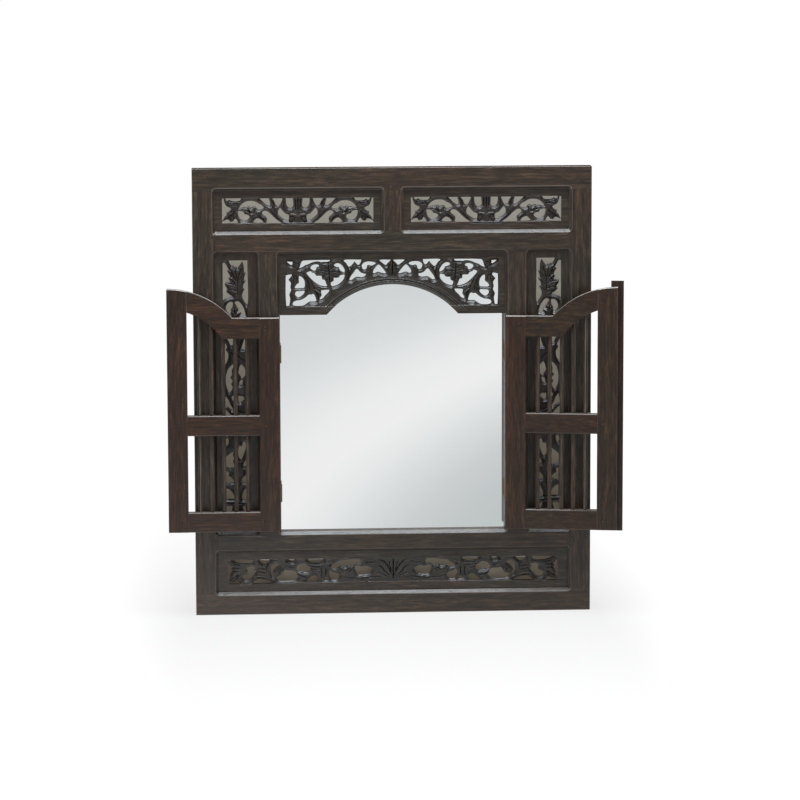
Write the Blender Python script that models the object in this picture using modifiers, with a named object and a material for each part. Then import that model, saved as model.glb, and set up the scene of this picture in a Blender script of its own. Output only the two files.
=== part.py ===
"""Wood framed mirror with carved openwork panels and two arched shutters.

Metres, +Z up. The frame lies in the x-z plane, its back on y = 0 and its front towards -y.
The origin is the middle of the top rail's back face, which bears on the wall.
The shutters are made closed and then swung open about their hinge pins.
"""
import math

import bmesh
import bpy
from mathutils import Matrix, Vector

# Fits and cutters
FIT_GAP = 0.0003
CUT_OVERRUN = 0.001
JOINT_OVERLAP = 0.002
WELD_SHARE = 0.01
SMOOTH_DEGREES = 40
BEVEL_PROFILE_SHARE = 0.5

# Frame
FRAME_WIDTH = 0.885
FRAME_HEIGHT = 1.0
FRAME_DEPTH = 0.032
STILE_WIDTH = 0.05
TOP_RAIL_HEIGHT = 0.05
TOP_OPENING_HEIGHT = 0.09
CROSS_RAIL_HEIGHT = 0.05
SILL_RAIL_HEIGHT = 0.046
BOTTOM_OPENING_HEIGHT = 0.09
BOTTOM_RAIL_HEIGHT = 0.05
MUNTIN_WIDTH = 0.05
SIDE_OPENING_WIDTH = 0.09
MULLION_WIDTH = 0.052

# Routed edge round each opening, and the carved panels in their grooves
CHAMFER = 0.0065
CHAMFER_CORNER_RADIUS = 0.0025
CHAMFER_CORNER_SEGMENTS = 3
PANEL_RECESS = 0.01
PANEL_THICKNESS = 0.008
GROOVE_DEPTH = 0.007
ARCH_PANEL_HEIGHT = 0.137
ARCH_HALF_SPAN = 0.146
ARCH_RISE = 0.066
ARCH_STEPS = 24

# Mortise and tenon joints of the frame, in line with the grooves, and their pegs
TENON_WALL = 0.001
TENON_REACH_SHARE = 0.76
PEG_RADIUS = 0.0035
PEG_LENGTH = 0.024
PEG_EDGE = 0.0005
PEG_SIDES = 12

# Mirror glass and its backing in a rebate at the back
GLASS_THICKNESS = 0.004
BACKING_THICKNESS = 0.003
GLASS_EDGE_GAP = 0.0005
REBATE_WIDTH = 0.008
REBATE_FLOOR_DEPTH = 0.022
BACKING_PIN_RADIUS = 0.0006
BACKING_PIN_LENGTH = 0.016
BACKING_PIN_SIDES = 6

# Keyhole hanger plates let into the top rail's back
HANGER_PLACE_SHARE = 0.8136
HANGER_WIDTH = 0.045
HANGER_HEIGHT = 0.018
HANGER_THICKNESS = 0.0015
HANGER_SCREW_SPACING = 0.034
HANGER_END_SEGMENTS = 6
KEYHOLE_RADIUS = 0.0046
KEYHOLE_SLOT_WIDTH = 0.0048
KEYHOLE_CENTRE_DROP = 0.0022
KEYHOLE_SLOT_RISE = 0.0065
KEYHOLE_SEGMENTS = 12
KEYHOLE_POCKET_WIDTH = 0.024
KEYHOLE_POCKET_HEIGHT = 0.014
KEYHOLE_POCKET_DEPTH = 0.009

# Countersunk wood screws
SCREW_HEAD_RADIUS = 0.0026
SCREW_HEAD_DEPTH = 0.0012
SCREW_SHANK_RADIUS = 0.0011
SCREW_LENGTH = 0.012
SCREW_HEAD_PROUD = 0.0002
SCREW_SIDES = 8

# Shutters
SHUTTER_THICKNESS = 0.02
SHUTTER_MEMBER_WIDTH = 0.0445
SHUTTER_HINGE_GAP = 0.0015
SHUTTER_EDGE_GAP = 0.0025
SHUTTER_SILL_GAP = 0.0065
SHUTTER_MEETING_GAP = 0.0015
SHUTTER_ARC_STEPS = 12
STILE_ARC_STEPS = 3
SHUTTER_TENON_THICKNESS = 0.0065
SHUTTER_TENON_SHOULDER = 0.01
SHUTTER_TENON_REACH_SHARE = 0.67
SHUTTER_PEG_RADIUS = 0.003
BARS_PER_SHUTTER = 5
BAR_DIAGONAL = 0.009
BAR_SOCKET = 0.006
BAR_SIDES = 4
LEFT_OPEN_DEGREES = 180
RIGHT_OPEN_DEGREES = 170

# Rounded strip nailed to the right shutter over the gap where the shutters meet
STRIP_WIDTH = 0.028
STRIP_THICKNESS = 0.008
STRIP_LAP = 0.016
STRIP_STANDOFF = 0.0005
STRIP_BELOW = 0.0035
STRIP_ABOVE = 0.0125
STRIP_ROUNDING = 0.0025
STRIP_ROUNDING_SEGMENTS = 3
STRIP_NAILS = 5
NAIL_HEAD_RADIUS = 0.0018
NAIL_HEAD_DEPTH = 0.0008
NAIL_RADIUS = 0.0008
NAIL_LENGTH = 0.018
NAIL_HEAD_PROUD = 0.0002

# Butt hinges, two to each shutter
HINGE_HEIGHT = 0.038
HINGE_INSET = 0.083
HINGE_AXIS_SET_IN = 0.0005
HINGE_KNUCKLE_RADIUS = 0.003
HINGE_KNUCKLE_CLEARANCE = 0.0005
HINGE_KNUCKLE_SIDES = 12
HINGE_KNUCKLES = 3
HINGE_LEAF_THICKNESS = 0.0012
HINGE_LEAF_DEPTH = 0.014
HINGE_SCREW_SPREAD_SHARE = 0.29
HINGE_PIN_RADIUS = 0.0014
HINGE_PIN_HEAD_RADIUS = 0.0023
HINGE_PIN_HEAD_HEIGHT = 0.0009
HINGE_PIN_SIDES = 10

# Levels up the frame and places across it
TOP_EDGE_Z = TOP_RAIL_HEIGHT / 2
TOP_RAIL_BOTTOM_Z = TOP_EDGE_Z - TOP_RAIL_HEIGHT
CROSS_TOP_Z = TOP_RAIL_BOTTOM_Z - TOP_OPENING_HEIGHT
CROSS_BOTTOM_Z = CROSS_TOP_Z - CROSS_RAIL_HEIGHT
BOTTOM_EDGE_Z = TOP_EDGE_Z - FRAME_HEIGHT
BOTTOM_RAIL_TOP_Z = BOTTOM_EDGE_Z + BOTTOM_RAIL_HEIGHT
SILL_BOTTOM_Z = BOTTOM_RAIL_TOP_Z + BOTTOM_OPENING_HEIGHT
SILL_TOP_Z = SILL_BOTTOM_Z + SILL_RAIL_HEIGHT
FRAME_EDGE_X = FRAME_WIDTH / 2
HANGER_X = FRAME_EDGE_X * HANGER_PLACE_SHARE
STILE_INNER_X = FRAME_EDGE_X - STILE_WIDTH
STILE_X = FRAME_EDGE_X - STILE_WIDTH / 2
MULLION_OUTER_X = STILE_INNER_X - SIDE_OPENING_WIDTH
OPENING_X = MULLION_OUTER_X - MULLION_WIDTH
MULLION_X = (MULLION_OUTER_X + OPENING_X) / 2
MUNTIN_EDGE_X = MUNTIN_WIDTH / 2

# Depths behind the front face
FRONT_Y = -FRAME_DEPTH
PANEL_FRONT_Y = FRONT_Y + PANEL_RECESS
PANEL_BACK_Y = PANEL_FRONT_Y + PANEL_THICKNESS
GLASS_FRONT_Y = FRONT_Y + REBATE_FLOOR_DEPTH + FIT_GAP
GLASS_BACK_Y = GLASS_FRONT_Y + GLASS_THICKNESS
BACKING_FRONT_Y = GLASS_BACK_Y + FIT_GAP
BACKING_BACK_Y = BACKING_FRONT_Y + BACKING_THICKNESS
BACKING_PIN_Y = BACKING_BACK_Y + FIT_GAP + BACKING_PIN_RADIUS
SHUTTER_BACK_Y = FRONT_Y + SHUTTER_THICKNESS
TONGUE = GROOVE_DEPTH - FIT_GAP
TENON_SHOULDER = GROOVE_DEPTH + TENON_WALL

# The arch over the glass
ARCH_SPRING_Z = CROSS_BOTTOM_Z - ARCH_PANEL_HEIGHT
ARCH_RADIUS = (ARCH_HALF_SPAN ** 2 + ARCH_RISE ** 2) / (2 * ARCH_RISE)
ARCH_CENTRE_Z = ARCH_SPRING_Z + ARCH_RISE - ARCH_RADIUS

# The closed shutters: inner edge, hinge edge, and the light between the members
SHUTTER_MEETING_X = SHUTTER_MEETING_GAP / 2
SHUTTER_HINGE_X = OPENING_X - SHUTTER_HINGE_GAP
LIGHT_INNER_X = SHUTTER_MEETING_X + SHUTTER_MEMBER_WIDTH
LIGHT_OUTER_X = SHUTTER_HINGE_X - SHUTTER_MEMBER_WIDTH
SHUTTER_BOTTOM_Z = SILL_TOP_Z + SHUTTER_SILL_GAP
SHUTTER_TOP_Z = ARCH_SPRING_Z - SHUTTER_EDGE_GAP
SHUTTER_ARC_RADIUS = ARCH_RADIUS - SHUTTER_EDGE_GAP
LIGHT_ARC_RADIUS = SHUTTER_ARC_RADIUS - SHUTTER_MEMBER_WIDTH
LOWER_LIGHT_BOTTOM_Z = SHUTTER_BOTTOM_Z + SHUTTER_MEMBER_WIDTH
MIDDLE_RAIL_Z = (SHUTTER_BOTTOM_Z + SHUTTER_TOP_Z) / 2
LOWER_LIGHT_TOP_Z = MIDDLE_RAIL_Z - SHUTTER_MEMBER_WIDTH / 2
UPPER_LIGHT_BOTTOM_Z = MIDDLE_RAIL_Z + SHUTTER_MEMBER_WIDTH / 2
UPPER_LIGHT_TOP_Z = SHUTTER_TOP_Z - SHUTTER_MEMBER_WIDTH
HINGE_AXIS_X = OPENING_X + HINGE_AXIS_SET_IN
HINGE_AXIS_Y = FRONT_Y - HINGE_KNUCKLE_RADIUS - HINGE_KNUCKLE_CLEARANCE
HINGE_LEVELS = {
    "upper": SHUTTER_TOP_Z - HINGE_INSET,
    "lower": SHUTTER_BOTTOM_Z + HINGE_INSET,
}

# The openwork is drawn on squared paper, a thousand squares to the frame's height: squares
# outward from the frame's middle line, then squares up from its bottom edge. Each drawing's
# edges (inner, outer, low, high) are laid on the edges of the opening that the panel fills.
ARCH_DRAWING_SHARES = (0, 250.5, 673, 810)
ARCH_HOLE_SHARES = (
    ((235, 792), (221, 791), (221, 784), (224, 783), (230, 787)),
    ((236.5, 761), (224, 763.5), (222.5, 759), (230, 750.5), (225, 743), (226, 733), (224.5, 727),
     (228.5, 717), (226.5, 708), (229, 691), (235.5, 691), (237, 720)),
    ((207, 759.5), (201, 757), (196, 751), (194, 743), (194, 736), (195.5, 731.5), (203, 731),
     (214, 731), (217, 733), (215, 737), (212, 741), (207.5, 744.5), (207.5, 752)),
    ((213, 725), (204, 726), (196, 726.5), (194, 723), (197, 718), (202, 713.5), (208, 710),
     (213, 713), (216, 718), (215, 723)),
    ((215, 704), (204, 706), (197, 709), (190, 714), (186, 717.5), (179, 718), (176, 719.5),
     (173, 717), (171, 712), (169, 706), (168.5, 702), (173, 701), (184, 700.5), (188, 698),
     (194, 694), (201, 691), (213, 690.8), (219, 692.5), (222, 696), (220, 701)),
    ((158, 727), (149, 728), (138.5, 728), (141, 722), (149, 714), (154, 708), (161, 705),
     (161, 709), (157, 716), (158, 722)),
    ((191, 766), (185, 769), (181, 770), (178, 767), (172, 764.5), (169, 760), (161, 759.5),
     (156, 759), (156, 754), (155, 751), (151, 750.5), (149, 748), (147, 742), (144, 736.5),
     (146, 735), (151, 735), (160, 737), (170, 743), (178, 750), (187, 760)),
    ((179, 782), (175, 784), (170, 785), (164, 784), (161.5, 781), (163, 778.5), (167.5, 777),
     (168.5, 773), (171, 770), (175, 770.5), (179, 773), (182, 777)),
    ((129.5, 781), (128, 784.5), (124, 787), (118, 786.5), (112, 782.5), (107.5, 776), (105, 770),
     (106, 765), (109, 766), (115, 770), (117, 773), (118, 777), (123, 777.5)),
    ((107, 762), (105.5, 758), (107, 752), (111, 746), (117, 740.5), (125, 736.5), (133, 734.5),
     (136, 738), (136.5, 744), (130, 748), (130, 755), (125, 754.5), (118, 756), (116.5, 759.5)),
    ((200, 792), (190, 794), (160, 795), (138, 795), (138, 791.5), (142, 789.5), (153, 789),
     (158, 788.5), (163, 790), (172, 789.5), (180, 787), (188, 783.5), (193, 782), (198, 778.5),
     (204, 776), (207, 775), (205, 780)),
    ((108, 791.5), (106, 794.5), (68, 795), (69, 789), (73, 782), (76, 782), (83, 789.5), (90, 781),
     (95, 777.5), (99, 781), (101, 785)),
    ((96, 749), (92, 758), (86, 766), (80, 773.5), (77, 773.5), (71, 767), (65, 764), (59, 763),
     (58, 760), (61, 756.5), (66, 754.5), (80, 755), (86, 751), (91, 748)),
    ((67, 777), (67.5, 782), (64, 787), (57, 790), (46, 790), (38, 787.5), (36, 784.5), (40, 782),
     (46, 780), (52, 781.5), (55, 780), (56, 775), (60, 771.5), (64, 772)),
    ((43, 765), (42, 770), (36, 779), (31, 783.5), (28, 782), (22, 776), (16, 768), (13, 764),
     (16, 762.5), (24, 764), (31, 766), (40, 763)),
    ((29, 792), (26, 794), (3, 794), (3, 792), (9, 786), (13, 781.5), (16, 782), (22, 786.5)),
)
TOP_DRAWING_SHARES = (25, 392.5, 860, 950)
TOP_HOLE_SHARES = (
    ((376, 932), (372.5, 932), (371, 925), (369, 920), (366.5, 916), (359, 912), (356, 909.5),
     (359, 906), (367, 901), (365.5, 897), (371, 891), (374, 885), (376, 884)),
    ((376, 877.5), (376, 881), (366, 886), (361.5, 885.5), (359, 882), (353, 882), (347, 888.5),
     (343, 884), (340.5, 878)),
    ((368, 933.5), (333, 933.5), (337, 927.5), (348, 926), (355, 927), (360, 930), (364, 927),
     (368, 929)),
    ((338.5, 911), (336, 916), (330, 922), (322, 926), (312, 927), (303, 925.5), (296, 921.5),
     (289, 918), (284, 913), (285, 910.5), (291, 908.5), (296, 908), (299, 910), (302, 914),
     (307, 914.5), (312, 912), (316, 915), (322, 913.5), (328, 913.5), (333, 912)),
    ((341, 905), (336, 905), (331, 903.5), (328, 901), (327, 898), (322, 897), (317, 894.5),
     (315, 891), (318, 887.5), (323, 884.5), (329, 883.5), (334, 886), (338, 890), (340, 895),
     (341, 900)),
    ((308, 879.5), (304, 885), (298, 888.5), (291, 886), (286, 881), (284, 878.5), (300, 878)),
    ((286, 903), (283, 905), (278, 904.5), (270, 899), (262, 891), (254, 884), (246, 879),
     (244, 877), (276, 877.5), (279, 879), (277, 884), (277.5, 889), (281, 893), (286, 897),
     (288, 900)),
    ((293, 932), (273, 932), (270.5, 925), (269.5, 917), (273, 916), (282, 921.5), (288, 927.5)),
    ((266, 932), (242, 932), (245, 924), (249, 917), (252, 915.5), (257, 918), (259, 923),
     (262, 928)),
    ((235, 932), (220, 932), (219, 925), (219, 915), (222, 912), (226, 911), (230, 913), (233, 917),
     (234.5, 923)),
    ((248, 912), (245, 908), (240, 902), (235, 898), (230, 896), (228, 891), (229, 884), (233, 884),
     (240, 887), (247, 892), (252, 897), (252, 904), (250, 909)),
)
SIDE_DRAWING_SHARES = (302.5, 392.5, 190, 810)
SIDE_HOLE_SHARES = (
    ((376, 790), (370.5, 790), (362.5, 775), (366.5, 772.5), (361, 763), (360, 758), (364, 755.5),
     (361, 752), (361, 748.5), (371.5, 747), (371, 741), (366, 733), (369, 727), (362, 720.5),
     (355, 716), (363, 713.5), (371, 711), (376, 708)),
    ((362.5, 796), (321.5, 796), (321.5, 699), (323, 697), (329, 706), (333, 714), (333, 721),
     (330, 728), (327.5, 731.5), (331.5, 735), (330.5, 741), (325, 750.5), (329, 752), (328, 759),
     (324.5, 768), (328.5, 769.5), (329, 780), (331, 790), (333, 793), (336, 788), (343, 778.5),
     (347, 783), (350, 780), (353.5, 785.5), (356, 783), (360, 789)),
    ((355, 703.5), (362, 703), (367, 698), (369.5, 690), (368, 684), (364, 679), (360, 676),
     (359, 681), (358.5, 687), (355.5, 692), (354, 698)),
    ((350.5, 703), (345, 705), (340, 703.5), (335, 698), (331, 691), (328, 682), (326, 673),
     (331, 673.5), (337, 675), (336, 682), (342, 683.5), (342, 690), (344.5, 692), (347, 697)),
    ((373, 668), (367, 664), (362, 657), (364, 649), (370, 646), (374, 654)),
    ((328, 667), (334, 662), (338, 652), (335, 642), (329, 635), (324, 645), (323, 658)),
    ((367, 640), (357, 640), (355, 623), (354, 609), (358, 607), (361, 609), (363, 614), (367, 623)),
    ((376, 616), (374, 615), (368, 602.5), (370.5, 598), (365.5, 588), (365.5, 580), (369, 570),
     (376, 558.5)),
    ((336.5, 599.5), (333, 610), (329, 620), (323, 622), (321.5, 600)),
    ((354, 566), (360, 561), (366, 554), (369, 546), (371, 536), (371, 524), (369, 513), (366, 505),
     (364, 501), (361, 504), (357, 511), (356.5, 515), (359, 519), (359, 523), (356.5, 526),
     (358, 531), (361, 535), (360, 538), (357.5, 541), (358, 550), (356, 556), (353, 561)),
    ((341, 558), (337, 565), (330, 557), (327.5, 550), (328, 541), (331, 537), (334, 534),
     (337, 533), (338, 538), (340, 541), (343, 546), (342, 553)),
    ((342, 519), (339, 518.5), (335, 520), (334, 525), (333, 529), (337, 530), (340, 527)),
    ((371.5, 494), (364, 482), (361, 474), (355, 464.5), (358, 463.5), (363, 467), (367, 470),
     (371, 472), (375, 471)),
    ((376, 463), (371.5, 463), (360, 451), (362, 446), (369, 440), (376, 437)),
    ((358, 493), (355, 496), (353.5, 488), (353.5, 484), (357, 486), (358.5, 490)),
    ((343, 496), (340, 493), (336, 494), (331, 491), (331, 487), (335, 483), (339, 480), (343, 481),
     (344, 488)),
    ((330, 440), (336, 436), (341, 428), (340, 418), (334, 410), (328, 414), (325, 425), (326, 434)),
    ((372, 432), (366, 428), (362, 420), (364, 411), (369, 406), (374, 409), (375, 420)),
    ((371.5, 400), (367, 398), (366, 391), (368, 385), (371, 383), (373, 390)),
    ((335, 389), (332, 391), (329, 390), (328, 383), (329, 375), (332, 366), (335, 358), (338, 353),
     (340, 353), (344, 358), (345, 365), (344, 380), (336, 382)),
    ((356, 370), (362, 366), (369, 360), (372, 357), (372, 336), (367, 335), (364, 333.5),
     (359, 335), (354, 333), (355, 342), (357, 348), (355, 355), (357, 362)),
    ((333, 337), (334, 340), (330, 348), (327, 352), (327, 337)),
    ((372, 326), (368, 324.5), (366, 321), (368, 316), (364, 313), (360, 310), (355, 304.5),
     (356, 302), (365, 300.5), (372, 298)),
    ((338, 303), (337, 308), (332, 314), (329, 317), (328, 324), (327, 301)),
    ((372, 288), (366, 285), (360, 280), (357, 274), (355, 268), (355, 264), (372, 264)),
    ((330, 286), (334, 280), (337, 272), (337, 265), (336, 261), (328, 262), (328, 286)),
    ((373, 247), (359.5, 247), (360, 241), (362, 235), (363, 228), (368, 212), (373, 212)),
    ((336, 247), (330, 247), (329, 235), (331, 235), (334, 240)),
    ((330, 228), (336, 224), (340, 216), (334, 209), (326, 212), (325, 222)),
)
BOTTOM_DRAWING_SHARES = (0, 392.5, 50, 140)
BOTTOM_HOLE_SHARES = (
    ((370, 114), (367, 113), (364, 108), (361, 104), (363, 100), (361, 96), (364, 92), (366, 86),
     (366, 80), (368, 75), (370, 72)),
    ((361, 123), (355, 118.5), (349, 116), (342, 114), (330, 113.5), (320, 113.5), (315, 115),
     (315, 123)),
    ((327, 104), (320, 106), (312, 105.5), (310, 101), (312, 98), (308, 94), (312, 88), (316, 84),
     (319, 80), (324, 77), (331, 76), (337, 80), (338, 86), (334, 89), (328, 90), (326, 96),
     (328, 100)),
    ((300, 121), (297, 117), (290, 111), (285, 113), (279, 117), (275, 121)),
    ((275, 98), (274, 106), (268, 112), (262, 113), (256.5, 110.5), (256, 107.5), (263, 103.5),
     (268.5, 97), (270, 90), (266, 84.5), (270, 83), (273.5, 89)),
    ((263, 82), (257, 75), (230, 73.5), (218, 76), (214, 81), (216, 87), (218, 94), (227, 96),
     (237, 96.5), (242, 98.5), (248, 92), (250, 87), (256, 84)),
    ((217, 103), (213, 108), (206, 110.5), (199, 111), (194, 108), (188, 102), (186, 96), (192, 93),
     (200, 93), (207, 95), (213, 94), (217, 97)),
    ((236, 121), (222, 121), (222, 117.5), (226, 116.5), (232, 118)),
    ((193, 121.5), (156, 121.5), (158, 117), (168, 114), (180, 115), (188, 116.5)),
    ((316, 68.5), (268, 68.5), (277, 73), (288, 76), (302, 77.5), (310, 73.5)),
    ((368, 68.5), (366, 72), (358, 72), (352, 75), (347, 74), (343, 69), (345, 68)),
    ((197, 71), (190, 76), (184, 82), (176, 84), (170, 82), (171, 76), (172, 70.5)),
    ((155, 80), (147, 79), (147, 73), (152, 73), (158, 75.5)),
    ((144, 88), (141, 96), (135, 91), (127, 89), (121, 84), (124, 76), (130, 73.5), (138, 74)),
    ((139, 101), (138, 107), (130, 111), (122, 116), (110, 118), (92, 119), (75, 119), (72, 112),
     (82, 110), (92, 106), (100, 107), (108, 104), (115, 106), (122, 103), (128, 100)),
    ((87, 101), (83, 92), (80, 86), (73, 85), (62, 86), (52, 90), (47, 97), (52, 101), (60, 104),
     (70, 103), (80, 105)),
)

# Where each frame peg stands in its tenon: shares of the tenon's half width and half height
FRAME_PEG_SHARES = (
    ("top_left", 0.27, 0.93),
    ("top_right", 0.35, 0.07),
    ("muntin_top", -0.23, -0.67),
    ("muntin_top", 1.0, 1.0),
    ("muntin_bottom", 0.08, 1.0),
    ("cross_left", 0.77, 1.0),
    ("mullion_top_right", 0.11, -0.47),
    ("mullion_bottom_left", -0.39, 0.67),
    ("sill_left", 0.77, 0.38),
    ("sill_right", -0.63, 0.23),
    ("bottom_right", 1.0, 1.0),
)

# Backing pins: the side of the rebate that each stands in, and the share of its half length
BACKING_PIN_SHARES = {
    "left_upper": ("left", 0.6),
    "left_lower": ("left", -0.6),
    "right_upper": ("right", 0.6),
    "right_lower": ("right", -0.6),
    "top": ("top", 0.0),
    "bottom": ("bottom", 0.0),
}

# Colour, roughness and metallic value of each finish
FINISHES = {
    "dark_wood": ((0.032, 0.02, 0.016), 0.5, 0.0),
    "mirror": ((0.9, 0.92, 0.93), 0.03, 1.0),
    "board": ((0.23, 0.16, 0.1), 0.8, 0.0),
    "steel": ((0.45, 0.45, 0.46), 0.35, 1.0),
    "brass": ((0.5, 0.36, 0.16), 0.35, 1.0),
}


def clear_scene():
    """Removes whatever the scene holds."""
    for old in list(bpy.data.objects):
        bpy.data.objects.remove(old, do_unlink=True)


def new_collection(name):
    """A collection of that name in the scene."""
    collection = bpy.data.collections.new(name)
    bpy.context.scene.collection.children.link(collection)
    return collection


clear_scene()
PARTS = new_collection("wood_framed_mirror")
CUTTERS = new_collection("cutters")


def finish(piece, kind):
    """Gives a piece its own material."""
    colour, roughness, metallic = FINISHES[kind]
    material = bpy.data.materials.new(piece.name + "_finish")
    material.use_nodes = True
    shader = material.node_tree.nodes["Principled BSDF"]
    shader.inputs["Base Color"].default_value = (*colour, 1.0)
    shader.inputs["Roughness"].default_value = roughness
    shader.inputs["Metallic"].default_value = metallic
    piece.data.materials.clear()
    piece.data.materials.append(material)
    return piece


def place(name, mesh, collection):
    """An object for a mesh, shown as wire where it is a cutter."""
    piece = bpy.data.objects.new(name, mesh)
    collection.objects.link(piece)
    if collection is CUTTERS:
        piece.hide_render = True
        piece.display_type = "WIRE"
    return piece


def from_bmesh(name, shape, collection):
    """An object made from a bmesh, which is freed."""
    mesh = bpy.data.meshes.new(name)
    shape.to_mesh(mesh)
    shape.free()
    return place(name, mesh, collection)


def shade_round(piece):
    """Shades a round piece smooth, with its sharp edges kept."""
    piece.data.shade_smooth()
    piece.data.set_sharp_from_angle(angle=math.radians(SMOOTH_DEGREES))
    return piece


def add_box(shape, corner, opposite):
    """Adds a box between two opposite corners, and returns its vertices."""
    low = Vector(map(min, corner, opposite))
    high = Vector(map(max, corner, opposite))
    matrix = Matrix.Translation((low + high) / 2) @ Matrix.Diagonal((*(high - low), 1))
    return bmesh.ops.create_cube(shape, size=1, matrix=matrix)["verts"]


def boxes(name, corners, collection):
    """An object of separate boxes, each given by two opposite corners."""
    shape = bmesh.new()
    for corner, opposite in corners:
        add_box(shape, corner, opposite)
    return from_bmesh(name, shape, collection)


def grown(corners, gap=FIT_GAP):
    """The two corners of a box that is larger by a gap all round."""
    corner, opposite = corners
    low = [min(pair) - gap for pair in zip(corner, opposite)]
    high = [max(pair) + gap for pair in zip(corner, opposite)]
    return low, high


def rods(name, runs, radius, sides, collection):
    """Separate straight rods, each between two points."""
    shape = bmesh.new()
    for start, end in runs:
        run = Vector(end) - Vector(start)
        middle = (Vector(end) + Vector(start)) / 2
        turn = Vector((0, 0, 1)).rotation_difference(run).to_matrix().to_4x4()
        bmesh.ops.create_cone(shape, cap_ends=True, segments=sides, radius1=radius, radius2=radius,
                              depth=run.length, matrix=Matrix.Translation(middle) @ turn)
    return from_bmesh(name, shape, collection)


def evaluated_mesh(piece):
    """A new mesh of an object as its modifiers or curve leave it."""
    bpy.context.view_layer.update()
    depsgraph = bpy.context.evaluated_depsgraph_get()
    return bpy.data.meshes.new_from_object(piece.evaluated_get(depsgraph))


def weld(mesh):
    """Joins a mesh's loose caps to its sides, with every face pointing out."""
    shape = bmesh.new()
    shape.from_mesh(mesh)
    bmesh.ops.remove_doubles(shape, verts=shape.verts, dist=WELD_SHARE * FIT_GAP)
    bmesh.ops.recalc_face_normals(shape, faces=shape.faces)
    shape.to_mesh(mesh)
    shape.free()


# Directions of an outline's two axes and its thickness, by the axis that the thickness follows
SLAB_AXES = {
    "X": Matrix(((0, 0, 1), (1, 0, 0), (0, 1, 0))).to_4x4(),
    "Y": Matrix(((1, 0, 0), (0, 0, -1), (0, 1, 0))).to_4x4(),
}


def slab(name, outline, axis, start, end, collection, holes=()):
    """A flat plate: an outline, in x and z or in y and z, between two places on the third axis."""
    curve = bpy.data.curves.new(name, "CURVE")
    curve.dimensions = "2D"
    curve.fill_mode = "BOTH"
    curve.extrude = abs(end - start) / 2
    for ring in (outline, *holes):
        spline = curve.splines.new("POLY")
        spline.points.add(len(ring) - 1)
        for point, (across, up) in zip(spline.points, ring):
            point.co = (across, up, 0, 1)
        spline.use_cyclic_u = True
    drawn = bpy.data.objects.new(name, curve)
    CUTTERS.objects.link(drawn)
    middle = Vector((1 if axis == "X" else 0, 1 if axis == "Y" else 0, 0)) * (start + end) / 2
    drawn.matrix_world = Matrix.Translation(middle) @ SLAB_AXES[axis]
    mesh = evaluated_mesh(drawn)
    weld(mesh)
    piece = place(name, mesh, collection)
    piece.matrix_world = drawn.matrix_world
    bpy.data.objects.remove(drawn, do_unlink=True)
    piece.name = name
    return piece


def turned(name, profile, sides, collection):
    """A piece turned about Z from (radius, height) points that run from its top to its bottom."""
    mesh = bpy.data.meshes.new(name)
    points = [(radius, 0, height) for radius, height in profile]
    mesh.from_pydata(points, [(n, n + 1) for n in range(len(points) - 1)], [])
    piece = place(name, mesh, collection)
    screw = piece.modifiers.new("turn", "SCREW")
    screw.steps = sides
    screw.render_steps = sides
    screw.use_merge_vertices = True
    screw.merge_threshold = WELD_SHARE * FIT_GAP
    return piece


def repeated(name, profile, sides, places, collection):
    """Copies of one turned piece, each with its top at a point and its foot along a direction."""
    master = turned(name + "_master", profile, sides, CUTTERS)
    turned_mesh = evaluated_mesh(master)
    shape = bmesh.new()
    for top, direction in places:
        turn = Vector((0, 0, -1)).rotation_difference(Vector(direction)).to_matrix().to_4x4()
        copy = turned_mesh.copy()
        copy.transform(Matrix.Translation(top) @ turn)
        shape.from_mesh(copy)
        bpy.data.meshes.remove(copy)
    bmesh.ops.remove_doubles(shape, verts=shape.verts, dist=WELD_SHARE * FIT_GAP)
    bmesh.ops.recalc_face_normals(shape, faces=shape.faces)
    bpy.data.objects.remove(master, do_unlink=True)
    return from_bmesh(name, shape, collection)


def screw_profile(gap=0, overrun=0):
    """A countersunk screw from the middle of its head to its tip, or the bore that clears it."""
    head, shank = SCREW_HEAD_RADIUS + gap, SCREW_SHANK_RADIUS + gap
    return ((0, overrun), (head, overrun), (head, 0), (shank, -SCREW_HEAD_DEPTH),
            (shank, -SCREW_LENGTH - gap), (0, -SCREW_LENGTH - gap))


def screws(name, places):
    """Screws with their heads just proud of the places, to be joined to what they hold."""
    proud = [(Vector(top) - Vector(run) * SCREW_HEAD_PROUD, run) for top, run in places]
    profile = screw_profile()
    return repeated(name, profile[:1] + profile[2:], SCREW_SIDES, proud, CUTTERS)


def screw_bores(name, places):
    """The cutter that clears screws at the places."""
    return repeated(name, screw_profile(FIT_GAP, CUT_OVERRUN), SCREW_SIDES, places, CUTTERS)


def boolean(piece, tool, operation):
    """Joins a tool to a piece, or cuts it from the piece."""
    step = piece.modifiers.new(tool.name, "BOOLEAN")
    step.operation = operation
    step.solver = "EXACT"
    step.object = tool


def cut(piece, *tools):
    """Cuts each tool from a piece."""
    for tool in tools:
        boolean(piece, tool, "DIFFERENCE")


def join(piece, *tools):
    """Joins each tool to a piece."""
    for tool in tools:
        boolean(piece, tool, "UNION")


def arc_height(x, radius):
    """The level of the arch of a radius at a distance from the middle line."""
    return ARCH_CENTRE_Z + math.sqrt(radius ** 2 - x ** 2)


def arc(start, end, radius, steps):
    """Points along the arch of a radius, from one distance off the middle line to another."""
    first, last = math.asin(start / radius), math.asin(end / radius)
    angles = (first + (last - first) * n / steps for n in range(steps + 1))
    return [(radius * math.sin(a), ARCH_CENTRE_Z + radius * math.cos(a)) for a in angles]


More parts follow.
